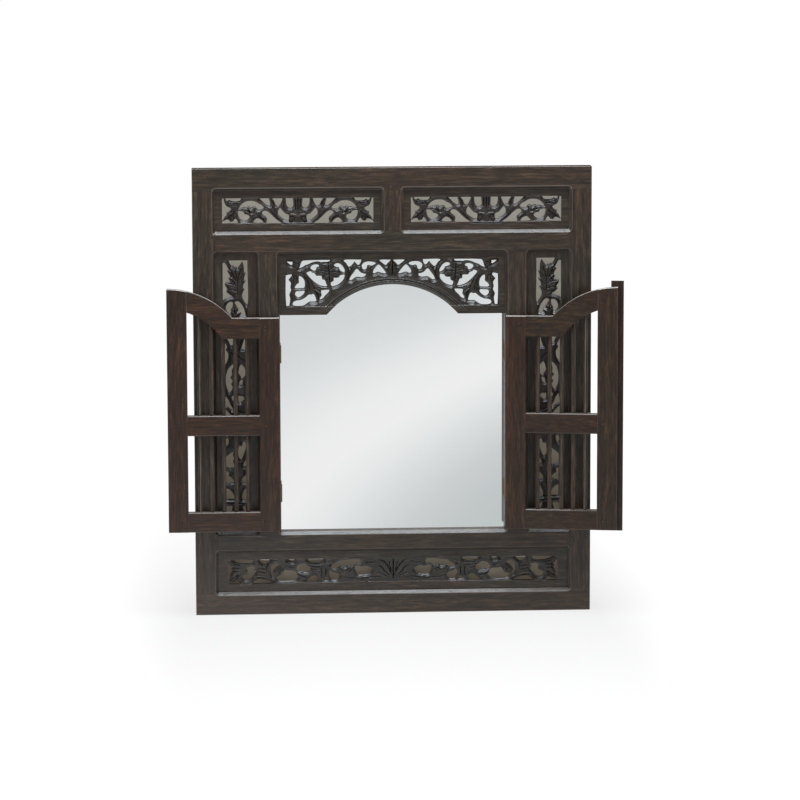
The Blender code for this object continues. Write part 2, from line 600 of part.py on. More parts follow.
# Openings of the frame: left, right, bottom, top
OPENINGS = {
    "top_left": (-STILE_INNER_X, -MUNTIN_EDGE_X, CROSS_TOP_Z, TOP_RAIL_BOTTOM_Z),
    "top_right": (MUNTIN_EDGE_X, STILE_INNER_X, CROSS_TOP_Z, TOP_RAIL_BOTTOM_Z),
    "left_side": (-STILE_INNER_X, -MULLION_OUTER_X, SILL_TOP_Z, CROSS_BOTTOM_Z),
    "right_side": (MULLION_OUTER_X, STILE_INNER_X, SILL_TOP_Z, CROSS_BOTTOM_Z),
    "bottom": (-STILE_INNER_X, STILE_INNER_X, BOTTOM_RAIL_TOP_Z, SILL_BOTTOM_Z),
    "mirror": (-OPENING_X, OPENING_X, SILL_TOP_Z, CROSS_BOTTOM_Z),
}
# The arch panel fills the mirror's opening down to the springing of the arch
PANEL_OPENINGS = {
    **{name: OPENINGS[name] for name in ("top_left", "top_right", "left_side", "right_side", "bottom")},
    "arch": (-OPENING_X, OPENING_X, ARCH_SPRING_Z, CROSS_BOTTOM_Z),
}


def upright_tenon(x, width, face_z, reach):
    """The tenon of an upright member that enters a level member's face."""
    half = width / 2 - TENON_SHOULDER
    root = face_z - math.copysign(JOINT_OVERLAP, reach)
    return (x - half, PANEL_FRONT_Y, root), (x + half, PANEL_BACK_Y, face_z + reach)


def level_tenon(z, height, face_x, reach):
    """The tenon of a level member that enters an upright member's face."""
    half = height / 2 - TENON_SHOULDER
    root = face_x - math.copysign(JOINT_OVERLAP, reach)
    return (root, PANEL_FRONT_Y, z - half), (face_x + reach, PANEL_BACK_Y, z + half)


CROSS_Z = (CROSS_TOP_Z + CROSS_BOTTOM_Z) / 2
SILL_Z = (SILL_TOP_Z + SILL_BOTTOM_Z) / 2
TOP_REACH = TENON_REACH_SHARE * TOP_RAIL_HEIGHT
BOTTOM_REACH = TENON_REACH_SHARE * BOTTOM_RAIL_HEIGHT
CROSS_REACH = TENON_REACH_SHARE * CROSS_RAIL_HEIGHT
SILL_REACH = TENON_REACH_SHARE * SILL_RAIL_HEIGHT
STILE_REACH = TENON_REACH_SHARE * STILE_WIDTH
TENONS = {
    "top_left": upright_tenon(-STILE_X, STILE_WIDTH, TOP_RAIL_BOTTOM_Z, TOP_REACH),
    "top_right": upright_tenon(STILE_X, STILE_WIDTH, TOP_RAIL_BOTTOM_Z, TOP_REACH),
    "bottom_left": upright_tenon(-STILE_X, STILE_WIDTH, BOTTOM_RAIL_TOP_Z, -BOTTOM_REACH),
    "bottom_right": upright_tenon(STILE_X, STILE_WIDTH, BOTTOM_RAIL_TOP_Z, -BOTTOM_REACH),
    "muntin_top": upright_tenon(0, MUNTIN_WIDTH, TOP_RAIL_BOTTOM_Z, TOP_REACH),
    "muntin_bottom": upright_tenon(0, MUNTIN_WIDTH, CROSS_TOP_Z, -CROSS_REACH),
    "mullion_top_left": upright_tenon(-MULLION_X, MULLION_WIDTH, CROSS_BOTTOM_Z, CROSS_REACH),
    "mullion_top_right": upright_tenon(MULLION_X, MULLION_WIDTH, CROSS_BOTTOM_Z, CROSS_REACH),
    "mullion_bottom_left": upright_tenon(-MULLION_X, MULLION_WIDTH, SILL_TOP_Z, -SILL_REACH),
    "mullion_bottom_right": upright_tenon(MULLION_X, MULLION_WIDTH, SILL_TOP_Z, -SILL_REACH),
    "cross_left": level_tenon(CROSS_Z, CROSS_RAIL_HEIGHT, -STILE_INNER_X, -STILE_REACH),
    "cross_right": level_tenon(CROSS_Z, CROSS_RAIL_HEIGHT, STILE_INNER_X, STILE_REACH),
    "sill_left": level_tenon(SILL_Z, SILL_RAIL_HEIGHT, -STILE_INNER_X, -STILE_REACH),
    "sill_right": level_tenon(SILL_Z, SILL_RAIL_HEIGHT, STILE_INNER_X, STILE_REACH),
}
# Each frame member: left, right, bottom, top, the tenons that it has and those that it takes
MEMBERS = {
    "top_rail": (-FRAME_EDGE_X, FRAME_EDGE_X, TOP_RAIL_BOTTOM_Z, TOP_EDGE_Z,
                 (), ("top_left", "top_right", "muntin_top")),
    "bottom_rail": (-FRAME_EDGE_X, FRAME_EDGE_X, BOTTOM_EDGE_Z, BOTTOM_RAIL_TOP_Z,
                    (), ("bottom_left", "bottom_right")),
    "left_stile": (-FRAME_EDGE_X, -STILE_INNER_X, BOTTOM_RAIL_TOP_Z + FIT_GAP,
                   TOP_RAIL_BOTTOM_Z - FIT_GAP,
                   ("top_left", "bottom_left"), ("cross_left", "sill_left")),
    "right_stile": (STILE_INNER_X, FRAME_EDGE_X, BOTTOM_RAIL_TOP_Z + FIT_GAP,
                    TOP_RAIL_BOTTOM_Z - FIT_GAP,
                    ("top_right", "bottom_right"), ("cross_right", "sill_right")),
    "cross_rail": (-STILE_INNER_X + FIT_GAP, STILE_INNER_X - FIT_GAP, CROSS_BOTTOM_Z, CROSS_TOP_Z,
                   ("cross_left", "cross_right"),
                   ("muntin_bottom", "mullion_top_left", "mullion_top_right")),
    "sill_rail": (-STILE_INNER_X + FIT_GAP, STILE_INNER_X - FIT_GAP, SILL_BOTTOM_Z, SILL_TOP_Z,
                  ("sill_left", "sill_right"), ("mullion_bottom_left", "mullion_bottom_right")),
    "centre_muntin": (-MUNTIN_EDGE_X, MUNTIN_EDGE_X, CROSS_TOP_Z + FIT_GAP,
                      TOP_RAIL_BOTTOM_Z - FIT_GAP, ("muntin_top", "muntin_bottom"), ()),
    "left_mullion": (-MULLION_OUTER_X, -OPENING_X, SILL_TOP_Z + FIT_GAP, CROSS_BOTTOM_Z - FIT_GAP,
                     ("mullion_top_left", "mullion_bottom_left"), ()),
    "right_mullion": (OPENING_X, MULLION_OUTER_X, SILL_TOP_Z + FIT_GAP, CROSS_BOTTOM_Z - FIT_GAP,
                      ("mullion_top_right", "mullion_bottom_right"), ()),
}


def moulding_cutter():
    """One cutter for the chamfers: a plate over each opening that narrows towards the back."""
    shape = bmesh.new()
    spread = CHAMFER + CUT_OVERRUN
    front, back = FRONT_Y - 2 * CUT_OVERRUN, FRONT_Y + spread
    for left, right, low, high in OPENINGS.values():
        verts = add_box(shape, (left - spread, front, low - spread),
                        (right + spread, back, high + spread))
        edges = {edge for vert in verts for edge in vert.link_edges}
        corners = [edge for edge in edges if abs(edge.verts[0].co.y - edge.verts[1].co.y) > CHAMFER]
        rounded = bmesh.ops.bevel(shape, geom=corners, affect="EDGES", profile=BEVEL_PROFILE_SHARE,
                                  offset=spread + CHAMFER_CORNER_RADIUS,
                                  segments=CHAMFER_CORNER_SEGMENTS)["verts"]
        rim = {edge for vert in rounded for edge in vert.link_edges
               if all(abs(end.co.y - back) < FIT_GAP for end in edge.verts)}
        bmesh.ops.bevel(shape, geom=list(rim), affect="EDGES", segments=1,
                        profile=BEVEL_PROFILE_SHARE, offset_type="OFFSET",
                        offset=CHAMFER + 2 * CUT_OVERRUN)
    return from_bmesh("moulding_cutter", shape, CUTTERS)


def groove_cutter():
    """One cutter for the grooves that the carved panels stand in."""
    spaces = []
    for name, (left, right, low, high) in PANEL_OPENINGS.items():
        floor = low - FIT_GAP if name == "arch" else low - GROOVE_DEPTH
        spaces.append(((left - GROOVE_DEPTH, PANEL_FRONT_Y - FIT_GAP, floor),
                       (right + GROOVE_DEPTH, PANEL_BACK_Y + FIT_GAP, high + GROOVE_DEPTH)))
    return boxes("groove_cutter", spaces, CUTTERS)


def frame_peg_points(joints):
    """The places of the frame pegs that lock the given joints."""
    points = []
    for joint, *shares in FRAME_PEG_SHARES:
        if joint not in joints:
            continue
        corner, opposite = TENONS[joint]
        point = []
        for share, ends in zip(shares, ((corner[0], opposite[0]), (corner[2], opposite[2]))):
            half = abs(ends[0] - ends[1]) / 2 - PEG_RADIUS - PEG_EDGE
            point.append(sum(ends) / 2 + share * half)
        points.append(point)
    return points


def frame_pegs(name, joints, gap=0, overrun=0):
    """Rods for the pegs that lock the given joints, or for the bores that clear them."""
    runs = [((x, FRONT_Y - overrun, z), (x, FRONT_Y + PEG_LENGTH + gap, z))
            for x, z in frame_peg_points(joints)]
    return rods(name, runs, PEG_RADIUS + gap, PEG_SIDES, CUTTERS)


def frame_members():
    """The nine members of the frame. A peg is one with the tenon that it locks."""
    moulding, grooves = moulding_cutter(), groove_cutter()
    members = {}
    for name, (left, right, low, high, has, takes) in MEMBERS.items():
        member = boxes(name, [((left, FRONT_Y, low), (right, 0, high))], PARTS)
        if has:
            join(member, boxes(name + "_tenons", [TENONS[joint] for joint in has], CUTTERS))
        if takes:
            mortises = [grown(TENONS[joint]) for joint in takes]
            cut(member, boxes(name + "_mortises", mortises, CUTTERS))
        cut(member, moulding, grooves)
        if frame_peg_points(takes):
            cut(member, frame_pegs(name + "_peg_bores", takes, FIT_GAP, CUT_OVERRUN))
        if frame_peg_points(has):
            join(member, frame_pegs(name + "_pegs", has))
        members[name] = finish(member, "dark_wood")
    return members


def laid_on(drawing, opening, ring, flip):
    """A drawn hole, laid on an opening, on the frame's left side unless flipped."""
    inner, outer, low, high = drawing
    left, right, floor, ceiling = opening
    points = []
    for outward, up in ring:
        across = (outward - inner) / (outer - inner)
        x = left + across * (right - left) if flip else right - across * (right - left)
        points.append((x, floor + (up - low) / (high - low) * (ceiling - floor)))
    return points


def mirrored_about(x, rings):
    """The rings, and their mirror images about an upright line."""
    return rings + [[(2 * x - across, up) for across, up in ring] for ring in rings]


def panel(name, opening, holes, outline=None):
    """A carved panel in its grooves, with its holes."""
    left, right, low, high = opening
    frame = outline or [(left - TONGUE, low - TONGUE), (right + TONGUE, low - TONGUE),
                        (right + TONGUE, high + TONGUE), (left - TONGUE, high + TONGUE)]
    piece = slab(name, frame, "Y", PANEL_FRONT_Y, PANEL_BACK_Y, PARTS, holes)
    return finish(piece, "dark_wood")


def top_panels():
    """The two panels over the cross rail: each half of a drawing is the other's mirror image."""
    for side, flip in (("top_left", False), ("top_right", True)):
        opening = OPENINGS[side]
        centre = (opening[0] + opening[1]) / 2
        holes = [laid_on(TOP_DRAWING_SHARES, opening, ring, flip) for ring in TOP_HOLE_SHARES]
        panel(side + "_panel", opening, mirrored_about(centre, holes))


def side_panels():
    """The two tall panels beside the mirror."""
    for side, flip in (("left_side", False), ("right_side", True)):
        opening = OPENINGS[side]
        holes = [laid_on(SIDE_DRAWING_SHARES, opening, ring, flip) for ring in SIDE_HOLE_SHARES]
        panel(side + "_panel", opening, holes)


def half_width_panel(name, opening, drawing, rings, outline=None):
    """A panel whose drawing is one half, mirrored about the frame's middle line."""
    left, right, low, high = opening
    holes = [laid_on(drawing, (left, 0, low, high), ring, False) for ring in rings]
    panel(name, opening, mirrored_about(0, holes), outline)


def arch_panel():
    """The panel over the mirror, its lower edge an arch between two flats."""
    left, right, low, high = PANEL_OPENINGS["arch"]
    curve = arc(-ARCH_HALF_SPAN, ARCH_HALF_SPAN, ARCH_RADIUS, ARCH_STEPS)
    outline = [(left - TONGUE, low), *curve, (right + TONGUE, low), (right + TONGUE, high + TONGUE),
               (left - TONGUE, high + TONGUE)]
    half_width_panel("arch_panel", PANEL_OPENINGS["arch"], ARCH_DRAWING_SHARES, ARCH_HOLE_SHARES,
                     outline)


def backing_pin_runs():
    """Each backing pin, from its end over the board to its end in the frame."""
    half_x, half_z = OPENING_X + REBATE_WIDTH, (CROSS_BOTTOM_Z - SILL_TOP_Z) / 2 + REBATE_WIDTH
    centre_z = (CROSS_BOTTOM_Z + SILL_TOP_Z) / 2
    half_pin = BACKING_PIN_LENGTH / 2
    runs = {}
    for name, (side, share) in BACKING_PIN_SHARES.items():
        sign = -1 if side in ("left", "bottom") else 1
        if side in ("left", "right"):
            z = centre_z + share * half_z
            ends = [(sign * (half_x + step), BACKING_PIN_Y, z) for step in (-half_pin, half_pin)]
        else:
            x = share * half_x
            ends = [(x, BACKING_PIN_Y, centre_z + sign * (half_z + step))
                    for step in (-half_pin, half_pin)]
        runs[name] = ends
    return runs


def mirror_and_backing(members):
    """The glass and its backing board in the rebate, held by steel pins."""
    grip = REBATE_WIDTH - GLASS_EDGE_GAP
    low = (-OPENING_X - grip, GLASS_FRONT_Y, SILL_TOP_Z - grip)
    high = (OPENING_X + grip, GLASS_BACK_Y, CROSS_BOTTOM_Z + grip)
    finish(boxes("mirror_glass", [(low, high)], PARTS), "mirror")
    low = (-OPENING_X - grip, BACKING_FRONT_Y, SILL_TOP_Z - grip)
    high = (OPENING_X + grip, BACKING_BACK_Y, CROSS_BOTTOM_Z + grip)
    finish(boxes("backing_board", [(low, high)], PARTS), "board")
    rebate = boxes("rebate_cutter",
                   [((-OPENING_X - REBATE_WIDTH, FRONT_Y + REBATE_FLOOR_DEPTH,
                      SILL_TOP_Z - REBATE_WIDTH),
                     (OPENING_X + REBATE_WIDTH, CUT_OVERRUN, CROSS_BOTTOM_Z + REBATE_WIDTH))],
                   CUTTERS)
    bore_runs = []
    for name, (start, end) in backing_pin_runs().items():
        pin = rods(f"backing_pin_{name}", [(start, end)], BACKING_PIN_RADIUS, BACKING_PIN_SIDES, PARTS)
        finish(shade_round(pin), "steel")
        along = (Vector(end) - Vector(start)).normalized() * FIT_GAP
        bore_runs.append((start, Vector(end) + along))
    bores = rods("backing_pin_bores", bore_runs, BACKING_PIN_RADIUS + FIT_GAP, BACKING_PIN_SIDES,
                 CUTTERS)
    for name in ("left_mullion", "right_mullion", "cross_rail", "sill_rail"):
        cut(members[name], rebate, bores)


def stadium(centre_x, width, height, segments):
    """An outline with round ends."""
    radius = height / 2
    points = []
    for side in (1, -1):
        for n in range(segments + 1):
            angle = side * (math.pi / 2 - math.pi * n / segments)
            x = centre_x + side * (width / 2 - radius) + side * radius * math.cos(angle)
            points.append((x, radius * math.sin(angle)))
    return points


def keyhole(centre_x):
    """A round hole with a slot above it."""
    half = KEYHOLE_SLOT_WIDTH / 2
    start = math.asin(half / KEYHOLE_RADIUS)
    sweep = 2 * (math.pi - start)
    angles = (start + sweep * n / KEYHOLE_SEGMENTS for n in range(KEYHOLE_SEGMENTS + 1))
    points = [(centre_x + KEYHOLE_RADIUS * math.sin(a),
               KEYHOLE_RADIUS * math.cos(a) - KEYHOLE_CENTRE_DROP) for a in angles]
    return points + [(centre_x - half, KEYHOLE_SLOT_RISE), (centre_x + half, KEYHOLE_SLOT_RISE)]


def hangers(top_rail):
    """Two keyhole plates, each let into the top rail's back over a pocket for a screw's head."""
    places = []
    plate_back = -FIT_GAP
    plate_front = plate_back - HANGER_THICKNESS
    for side, sign in (("left", -1), ("right", 1)):
        x = sign * HANGER_X
        heads = [((x + step * HANGER_SCREW_SPACING / 2, plate_back, 0), (0, -1, 0)) for step in (-1, 1)]
        plate = slab(side + "_hanger_plate",
                     stadium(x, HANGER_WIDTH, HANGER_HEIGHT, HANGER_END_SEGMENTS),
                     "Y", plate_front, plate_back, PARTS, [keyhole(x)])
        join(plate, screws(side + "_hanger_screws", heads))
        finish(shade_round(plate), "steel")
        recess = slab(side + "_hanger_recess",
                      stadium(x, HANGER_WIDTH + 2 * FIT_GAP, HANGER_HEIGHT + 2 * FIT_GAP,
                              HANGER_END_SEGMENTS),
                      "Y", plate_front - FIT_GAP, CUT_OVERRUN, CUTTERS)
        pocket = boxes(side + "_hanger_pocket",
                       [((x - KEYHOLE_POCKET_WIDTH / 2, plate_front - KEYHOLE_POCKET_DEPTH,
                          -KEYHOLE_POCKET_HEIGHT / 2),
                         (x + KEYHOLE_POCKET_WIDTH / 2, CUT_OVERRUN, KEYHOLE_POCKET_HEIGHT / 2))],
                       CUTTERS)
        cut(top_rail, recess, pocket)
        places += heads
    cut(top_rail, screw_bores("hanger_screw_bores", places))


def attach(pieces, pivot):
    """Makes pieces follow a pivot from where they are."""
    bpy.context.view_layer.update()
    for piece in pieces:
        piece.parent = pivot
        piece.matrix_parent_inverse = pivot.matrix_world.inverted()


def light_top(x):
    """The top of the upper light at a distance from the middle line."""
    if x >= LIGHT_ARC_RADIUS:
        return UPPER_LIGHT_TOP_Z
    return max(UPPER_LIGHT_TOP_Z, arc_height(x, LIGHT_ARC_RADIUS))


def shutter_tenon(sign, z, height, face_x, reach):
    """The tenon of a shutter's rail, in the middle of its thickness."""
    half = height / 2 - SHUTTER_TENON_SHOULDER
    middle_y = (FRONT_Y + SHUTTER_BACK_Y) / 2
    root = face_x - math.copysign(JOINT_OVERLAP, reach)
    return ((sign * root, middle_y - SHUTTER_TENON_THICKNESS / 2, z - half),
            (sign * (face_x + reach), middle_y + SHUTTER_TENON_THICKNESS / 2, z + half))


def shutter_outlines(sign):
    """The outline of each shutter member, in x and z."""
    inner, outer = LIGHT_INNER_X + FIT_GAP, LIGHT_OUTER_X - FIT_GAP
    flat_x = math.sqrt(SHUTTER_ARC_RADIUS ** 2 - (SHUTTER_TOP_Z - ARCH_CENTRE_Z) ** 2)
    light_flat_x = math.sqrt(LIGHT_ARC_RADIUS ** 2 - (UPPER_LIGHT_TOP_Z - ARCH_CENTRE_Z) ** 2)
    stile_arc = arc(LIGHT_INNER_X, SHUTTER_MEETING_X, SHUTTER_ARC_RADIUS, STILE_ARC_STEPS)
    under = arc(inner, light_flat_x, LIGHT_ARC_RADIUS, SHUTTER_ARC_STEPS)
    over = arc(flat_x, inner, SHUTTER_ARC_RADIUS, SHUTTER_ARC_STEPS)
    level = {
        "middle_rail": (LOWER_LIGHT_TOP_Z, UPPER_LIGHT_BOTTOM_Z),
        "bottom_rail": (SHUTTER_BOTTOM_Z, LOWER_LIGHT_BOTTOM_Z),
    }
    outlines = {
        "hinge_stile": [(LIGHT_OUTER_X, SHUTTER_BOTTOM_Z), (SHUTTER_HINGE_X, SHUTTER_BOTTOM_Z),
                        (SHUTTER_HINGE_X, SHUTTER_TOP_Z), (LIGHT_OUTER_X, SHUTTER_TOP_Z)],
        "meeting_stile": [(SHUTTER_MEETING_X, SHUTTER_BOTTOM_Z), (LIGHT_INNER_X, SHUTTER_BOTTOM_Z),
                          *stile_arc],
        "top_rail": [*under, (outer, UPPER_LIGHT_TOP_Z), (outer, SHUTTER_TOP_Z), *over],
    }
    for name, (low, high) in level.items():
        outlines[name] = [(inner, low), (outer, low), (outer, high), (inner, high)]
    return {name: [(sign * x, z) for x, z in ring] for name, ring in outlines.items()}


def shutter_joints(sign):
    """The tenons of each rail of a shutter, the first in the meeting stile."""
    reach = SHUTTER_TENON_REACH_SHARE * SHUTTER_MEMBER_WIDTH
    arch_low, arch_high = light_top(LIGHT_INNER_X), arc_height(LIGHT_INNER_X, SHUTTER_ARC_RADIUS)
    levels = {
        "top_rail": (((arch_low + arch_high) / 2, arch_high - arch_low),
                     ((UPPER_LIGHT_TOP_Z + SHUTTER_TOP_Z) / 2, SHUTTER_MEMBER_WIDTH)),
        "middle_rail": ((MIDDLE_RAIL_Z, SHUTTER_MEMBER_WIDTH),) * 2,
        "bottom_rail": (((SHUTTER_BOTTOM_Z + LOWER_LIGHT_BOTTOM_Z) / 2, SHUTTER_MEMBER_WIDTH),) * 2,
    }
    joints = {}
    for name, ((inner_z, inner_height), (outer_z, outer_height)) in levels.items():
        joints[name] = (shutter_tenon(sign, inner_z, inner_height, LIGHT_INNER_X, -reach),
                        shutter_tenon(sign, outer_z, outer_height, LIGHT_OUTER_X, reach))
    return joints


def shutter_bars(side, sign):
    """The bars, each in one length through the middle rail, and the cutter for their sockets."""
    middle_y = (FRONT_Y + SHUTTER_BACK_Y) / 2
    pitch = (LIGHT_OUTER_X - LIGHT_INNER_X) / (BARS_PER_SHUTTER + 1)
    low = LOWER_LIGHT_BOTTOM_Z - BAR_SOCKET
    bars, sockets = [], []
    for n in range(1, BARS_PER_SHUTTER + 1):
        x = LIGHT_INNER_X + pitch * n
        high = light_top(x) + BAR_SOCKET
        foot, head = (sign * x, middle_y, low), (sign * x, middle_y, high)
        bar = rods(f"{side}_shutter_bar_{n}", [(foot, head)], BAR_DIAGONAL / 2, BAR_SIDES, PARTS)
        bars.append(finish(bar, "dark_wood"))
        sockets.append(((*foot[:2], low - FIT_GAP), (*head[:2], high + FIT_GAP)))
    clear = BAR_DIAGONAL / 2 + math.hypot(FIT_GAP, FIT_GAP)
    return bars, rods(f"{side}_bar_sockets", sockets, clear, BAR_SIDES, CUTTERS)


def shutter_pegs(name, tenons, gap=0, overrun=0):
    """A rod through the middle of each tenon, for its peg or for the bore that clears the peg."""
    centres = [(Vector(low) + Vector(high)) / 2 for low, high in tenons]
    runs = [((c.x, FRONT_Y - overrun, c.z), (c.x, SHUTTER_BACK_Y + overrun, c.z)) for c in centres]
    return rods(name, runs, SHUTTER_PEG_RADIUS + gap, PEG_SIDES, CUTTERS)


def meeting_strip(stile):
    """The strip on the right shutter's outer face, and the nails that hold it."""
    left = SHUTTER_MEETING_X + STRIP_LAP - STRIP_WIDTH
    right = SHUTTER_MEETING_X + STRIP_LAP
    back = FRONT_Y - STRIP_STANDOFF
    front = back - STRIP_THICKNESS
    crown_z = arc_height(SHUTTER_MEETING_X, SHUTTER_ARC_RADIUS)
    low, high = SHUTTER_BOTTOM_Z - STRIP_BELOW, crown_z + STRIP_ABOVE
    strip = boxes("meeting_strip", [((left, front, low), (right, back, high))], PARTS)
    weights = strip.data.attributes.new("bevel_weight_edge", "FLOAT", "EDGE")
    for edge in strip.data.edges:
        ends = [strip.data.vertices[index].co for index in edge.vertices]
        upright = abs(ends[0].z - ends[1].z) > STRIP_WIDTH
        weights.data[edge.index].value = float(upright and ends[0].y < back - STRIP_ROUNDING)
    rounding = strip.modifiers.new("rounding", "BEVEL")
    rounding.limit_method = "WEIGHT"
    rounding.width = STRIP_ROUNDING
    rounding.segments = STRIP_ROUNDING_SEGMENTS
    x = (SHUTTER_MEETING_X + right) / 2
    pitch = (high - low) / STRIP_NAILS
    heads = [((x, front, low + pitch / 2 + pitch * n), (0, 1, 0)) for n in range(STRIP_NAILS)]
    proud = [(Vector(top) - Vector(run) * NAIL_HEAD_PROUD, run) for top, run in heads]
    nails = repeated("strip_nails", nail_profile(), SCREW_SIDES, proud, CUTTERS)
    bores = repeated("strip_nail_bores", nail_profile(FIT_GAP), SCREW_SIDES, heads, CUTTERS)
    join(strip, nails)
    cut(stile, bores)
    return [finish(strip, "dark_wood"), nails, bores]


def nail_profile(gap=0):
    """A flat-headed nail from the middle of its head to its tip, or the bore that clears it."""
    head, shank, neck = NAIL_HEAD_RADIUS + gap, NAIL_RADIUS + gap, -NAIL_HEAD_DEPTH - gap
    return ((0, 0), (head, 0), (head, neck), (shank, neck),
            (shank, -NAIL_LENGTH - gap), (0, -NAIL_LENGTH - gap))


def shutter(side, sign, open_degrees, mullion):
    """One shutter with its hinges, swung open about its pins. A peg is one with its tenon."""
    pieces = {}
    for name, ring in shutter_outlines(sign).items():
        member = slab(f"{side}_shutter_{name}", ring, "Y", FRONT_Y, SHUTTER_BACK_Y, PARTS)
        pieces[name] = finish(member, "dark_wood")
    joints = shutter_joints(sign)
    bars, sockets = shutter_bars(side, sign)
    tools = [sockets]
    for name, pair in joints.items():
        tenons = boxes(f"{side}_{name}_tenons", pair, CUTTERS)
        pegs = shutter_pegs(f"{side}_{name}_pegs", pair)
        tools += [tenons, pegs]
        join(pieces[name], tenons, pegs)
        cut(pieces[name], sockets)
    for stile, index in (("meeting_stile", 0), ("hinge_stile", 1)):
        entering = [pair[index] for pair in joints.values()]
        mortises = boxes(f"{side}_{stile}_mortises", [grown(tenon) for tenon in entering], CUTTERS)
        bores = shutter_pegs(f"{side}_{stile}_peg_bores", entering, FIT_GAP, CUT_OVERRUN)
        tools += [mortises, bores]
        cut(pieces[stile], mortises, bores)
    moving = [*pieces.values(), *bars, *tools]
    if side == "right":
        moving += meeting_strip(pieces["meeting_stile"])
    moving += shutter_hinges(side, sign, mullion, pieces["hinge_stile"])
    pivot = bpy.data.objects.new(f"{side}_shutter_pivot", None)
    PARTS.objects.link(pivot)
    pivot.location = (sign * HINGE_AXIS_X, HINGE_AXIS_Y, 0)
    attach(moving, pivot)
    pivot.rotation_euler.z = sign * math.radians(open_degrees)


def knuckle_levels(z):
    """The bottom and top of each of a hinge's knuckles, from the lowest."""
    height = (HINGE_HEIGHT - (HINGE_KNUCKLES - 1) * FIT_GAP) / HINGE_KNUCKLES
    floors = [z - HINGE_HEIGHT / 2 + n * (height + FIT_GAP) for n in range(HINGE_KNUCKLES)]
    return [(floor, floor + height) for floor in floors]


def leaf(name, sign, z, near_x, far_x, knuckles, heads):
    """A hinge leaf: a plate with tabs that run forward to its knuckles, and its two screws."""
    low, high = z - HINGE_HEIGHT / 2, z + HINGE_HEIGHT / 2
    back = FRONT_Y + HINGE_LEAF_DEPTH
    outline = [(back, high), (back, low)]
    for floor, ceiling in knuckles:
        outline += [(FRONT_Y, floor), (HINGE_AXIS_Y, floor), (HINGE_AXIS_Y, ceiling),
                    (FRONT_Y, ceiling)]
    if knuckles[0][0] > low:
        outline.insert(2, (FRONT_Y, low))
        outline.append((FRONT_Y, high))
    else:
        outline.remove((FRONT_Y, knuckles[0][0]))
        outline.remove((FRONT_Y, knuckles[-1][1]))
    plate = slab(name, outline, "X", sign * near_x, sign * far_x, PARTS)
    axis_x = sign * HINGE_AXIS_X
    barrels = rods(name + "_barrels",
                   [((axis_x, HINGE_AXIS_Y, floor), (axis_x, HINGE_AXIS_Y, ceiling))
                    for floor, ceiling in knuckles],
                   HINGE_KNUCKLE_RADIUS, HINGE_KNUCKLE_SIDES, CUTTERS)
    bore = rods(name + "_bore",
                [((axis_x, HINGE_AXIS_Y, low - CUT_OVERRUN), (axis_x, HINGE_AXIS_Y, high + CUT_OVERRUN))],
                HINGE_PIN_RADIUS + FIT_GAP, HINGE_KNUCKLE_SIDES, CUTTERS)
    fixings = screws(name + "_screws", heads)
    join(plate, barrels, fixings)
    cut(plate, bore)
    return finish(shade_round(plate), "brass"), [barrels, bore, fixings]


def hinge_pin(name, sign, z):
    """A hinge pin with a small head at each end."""
    half = HINGE_HEIGHT / 2 + FIT_GAP
    end = half + HINGE_PIN_HEAD_HEIGHT
    profile = ((0, end), (HINGE_PIN_HEAD_RADIUS, end), (HINGE_PIN_HEAD_RADIUS, half),
               (HINGE_PIN_RADIUS, half), (HINGE_PIN_RADIUS, -half), (HINGE_PIN_HEAD_RADIUS, -half),
               (HINGE_PIN_HEAD_RADIUS, -end), (0, -end))
    pin = turned(name, profile, HINGE_PIN_SIDES, PARTS)
    pin.location = (sign * HINGE_AXIS_X, HINGE_AXIS_Y, z)
    return finish(pin, "brass")


def shutter_hinges(side, sign, mullion, stile):
    """Both hinges of a shutter, and the recesses that they lie in."""
    moving, frame_heads, shutter_heads, frame_recesses, shutter_recesses = [], [], [], [], []
    frame_near = OPENING_X + FIT_GAP
    frame_far = frame_near + HINGE_LEAF_THICKNESS
    shutter_far = SHUTTER_HINGE_X - HINGE_LEAF_THICKNESS
    screw_y = FRONT_Y + HINGE_LEAF_DEPTH / 2
    back = FRONT_Y + HINGE_LEAF_DEPTH + FIT_GAP
    for level, z in HINGE_LEVELS.items():
        name = f"{side}_{level}_hinge"
        spread = HINGE_SCREW_SPREAD_SHARE * HINGE_HEIGHT
        to_frame = [((sign * frame_near, screw_y, z + step * spread), (sign, 0, 0)) for step in (-1, 1)]
        to_shutter = [((sign * SHUTTER_HINGE_X, screw_y, z + step * spread), (-sign, 0, 0))
                      for step in (-1, 1)]
        lower, middle, upper = knuckle_levels(z)
        leaf(name + "_frame_leaf", sign, z, frame_near, frame_far, (lower, upper), to_frame)
        plate, tools = leaf(name + "_shutter_leaf", sign, z, shutter_far, SHUTTER_HINGE_X, (middle,),
                            to_shutter)
        moving += [plate, *tools]
        hinge_pin(name + "_pin", sign, z)
        low, high = z - HINGE_HEIGHT / 2 - FIT_GAP, z + HINGE_HEIGHT / 2 + FIT_GAP
        front = FRONT_Y - CUT_OVERRUN
        frame_recesses.append(((sign * (OPENING_X - CUT_OVERRUN), front, low),
                               (sign * (frame_far + FIT_GAP), back, high)))
        shutter_recesses.append(((sign * (SHUTTER_HINGE_X + CUT_OVERRUN), front, low),
                                 (sign * (shutter_far - FIT_GAP), back, high)))
        frame_heads += to_frame
        shutter_heads += to_shutter
    frame_bores = screw_bores(side + "_frame_hinge_bores", frame_heads)
    shutter_bores = screw_bores(side + "_shutter_hinge_bores", shutter_heads)
    recess = boxes(side + "_shutter_hinge_recesses", shutter_recesses, CUTTERS)
    cut(mullion, boxes(side + "_frame_hinge_recesses", frame_recesses, CUTTERS), frame_bores)
    cut(stile, recess, shutter_bores)
    return [*moving, recess, shutter_bores]


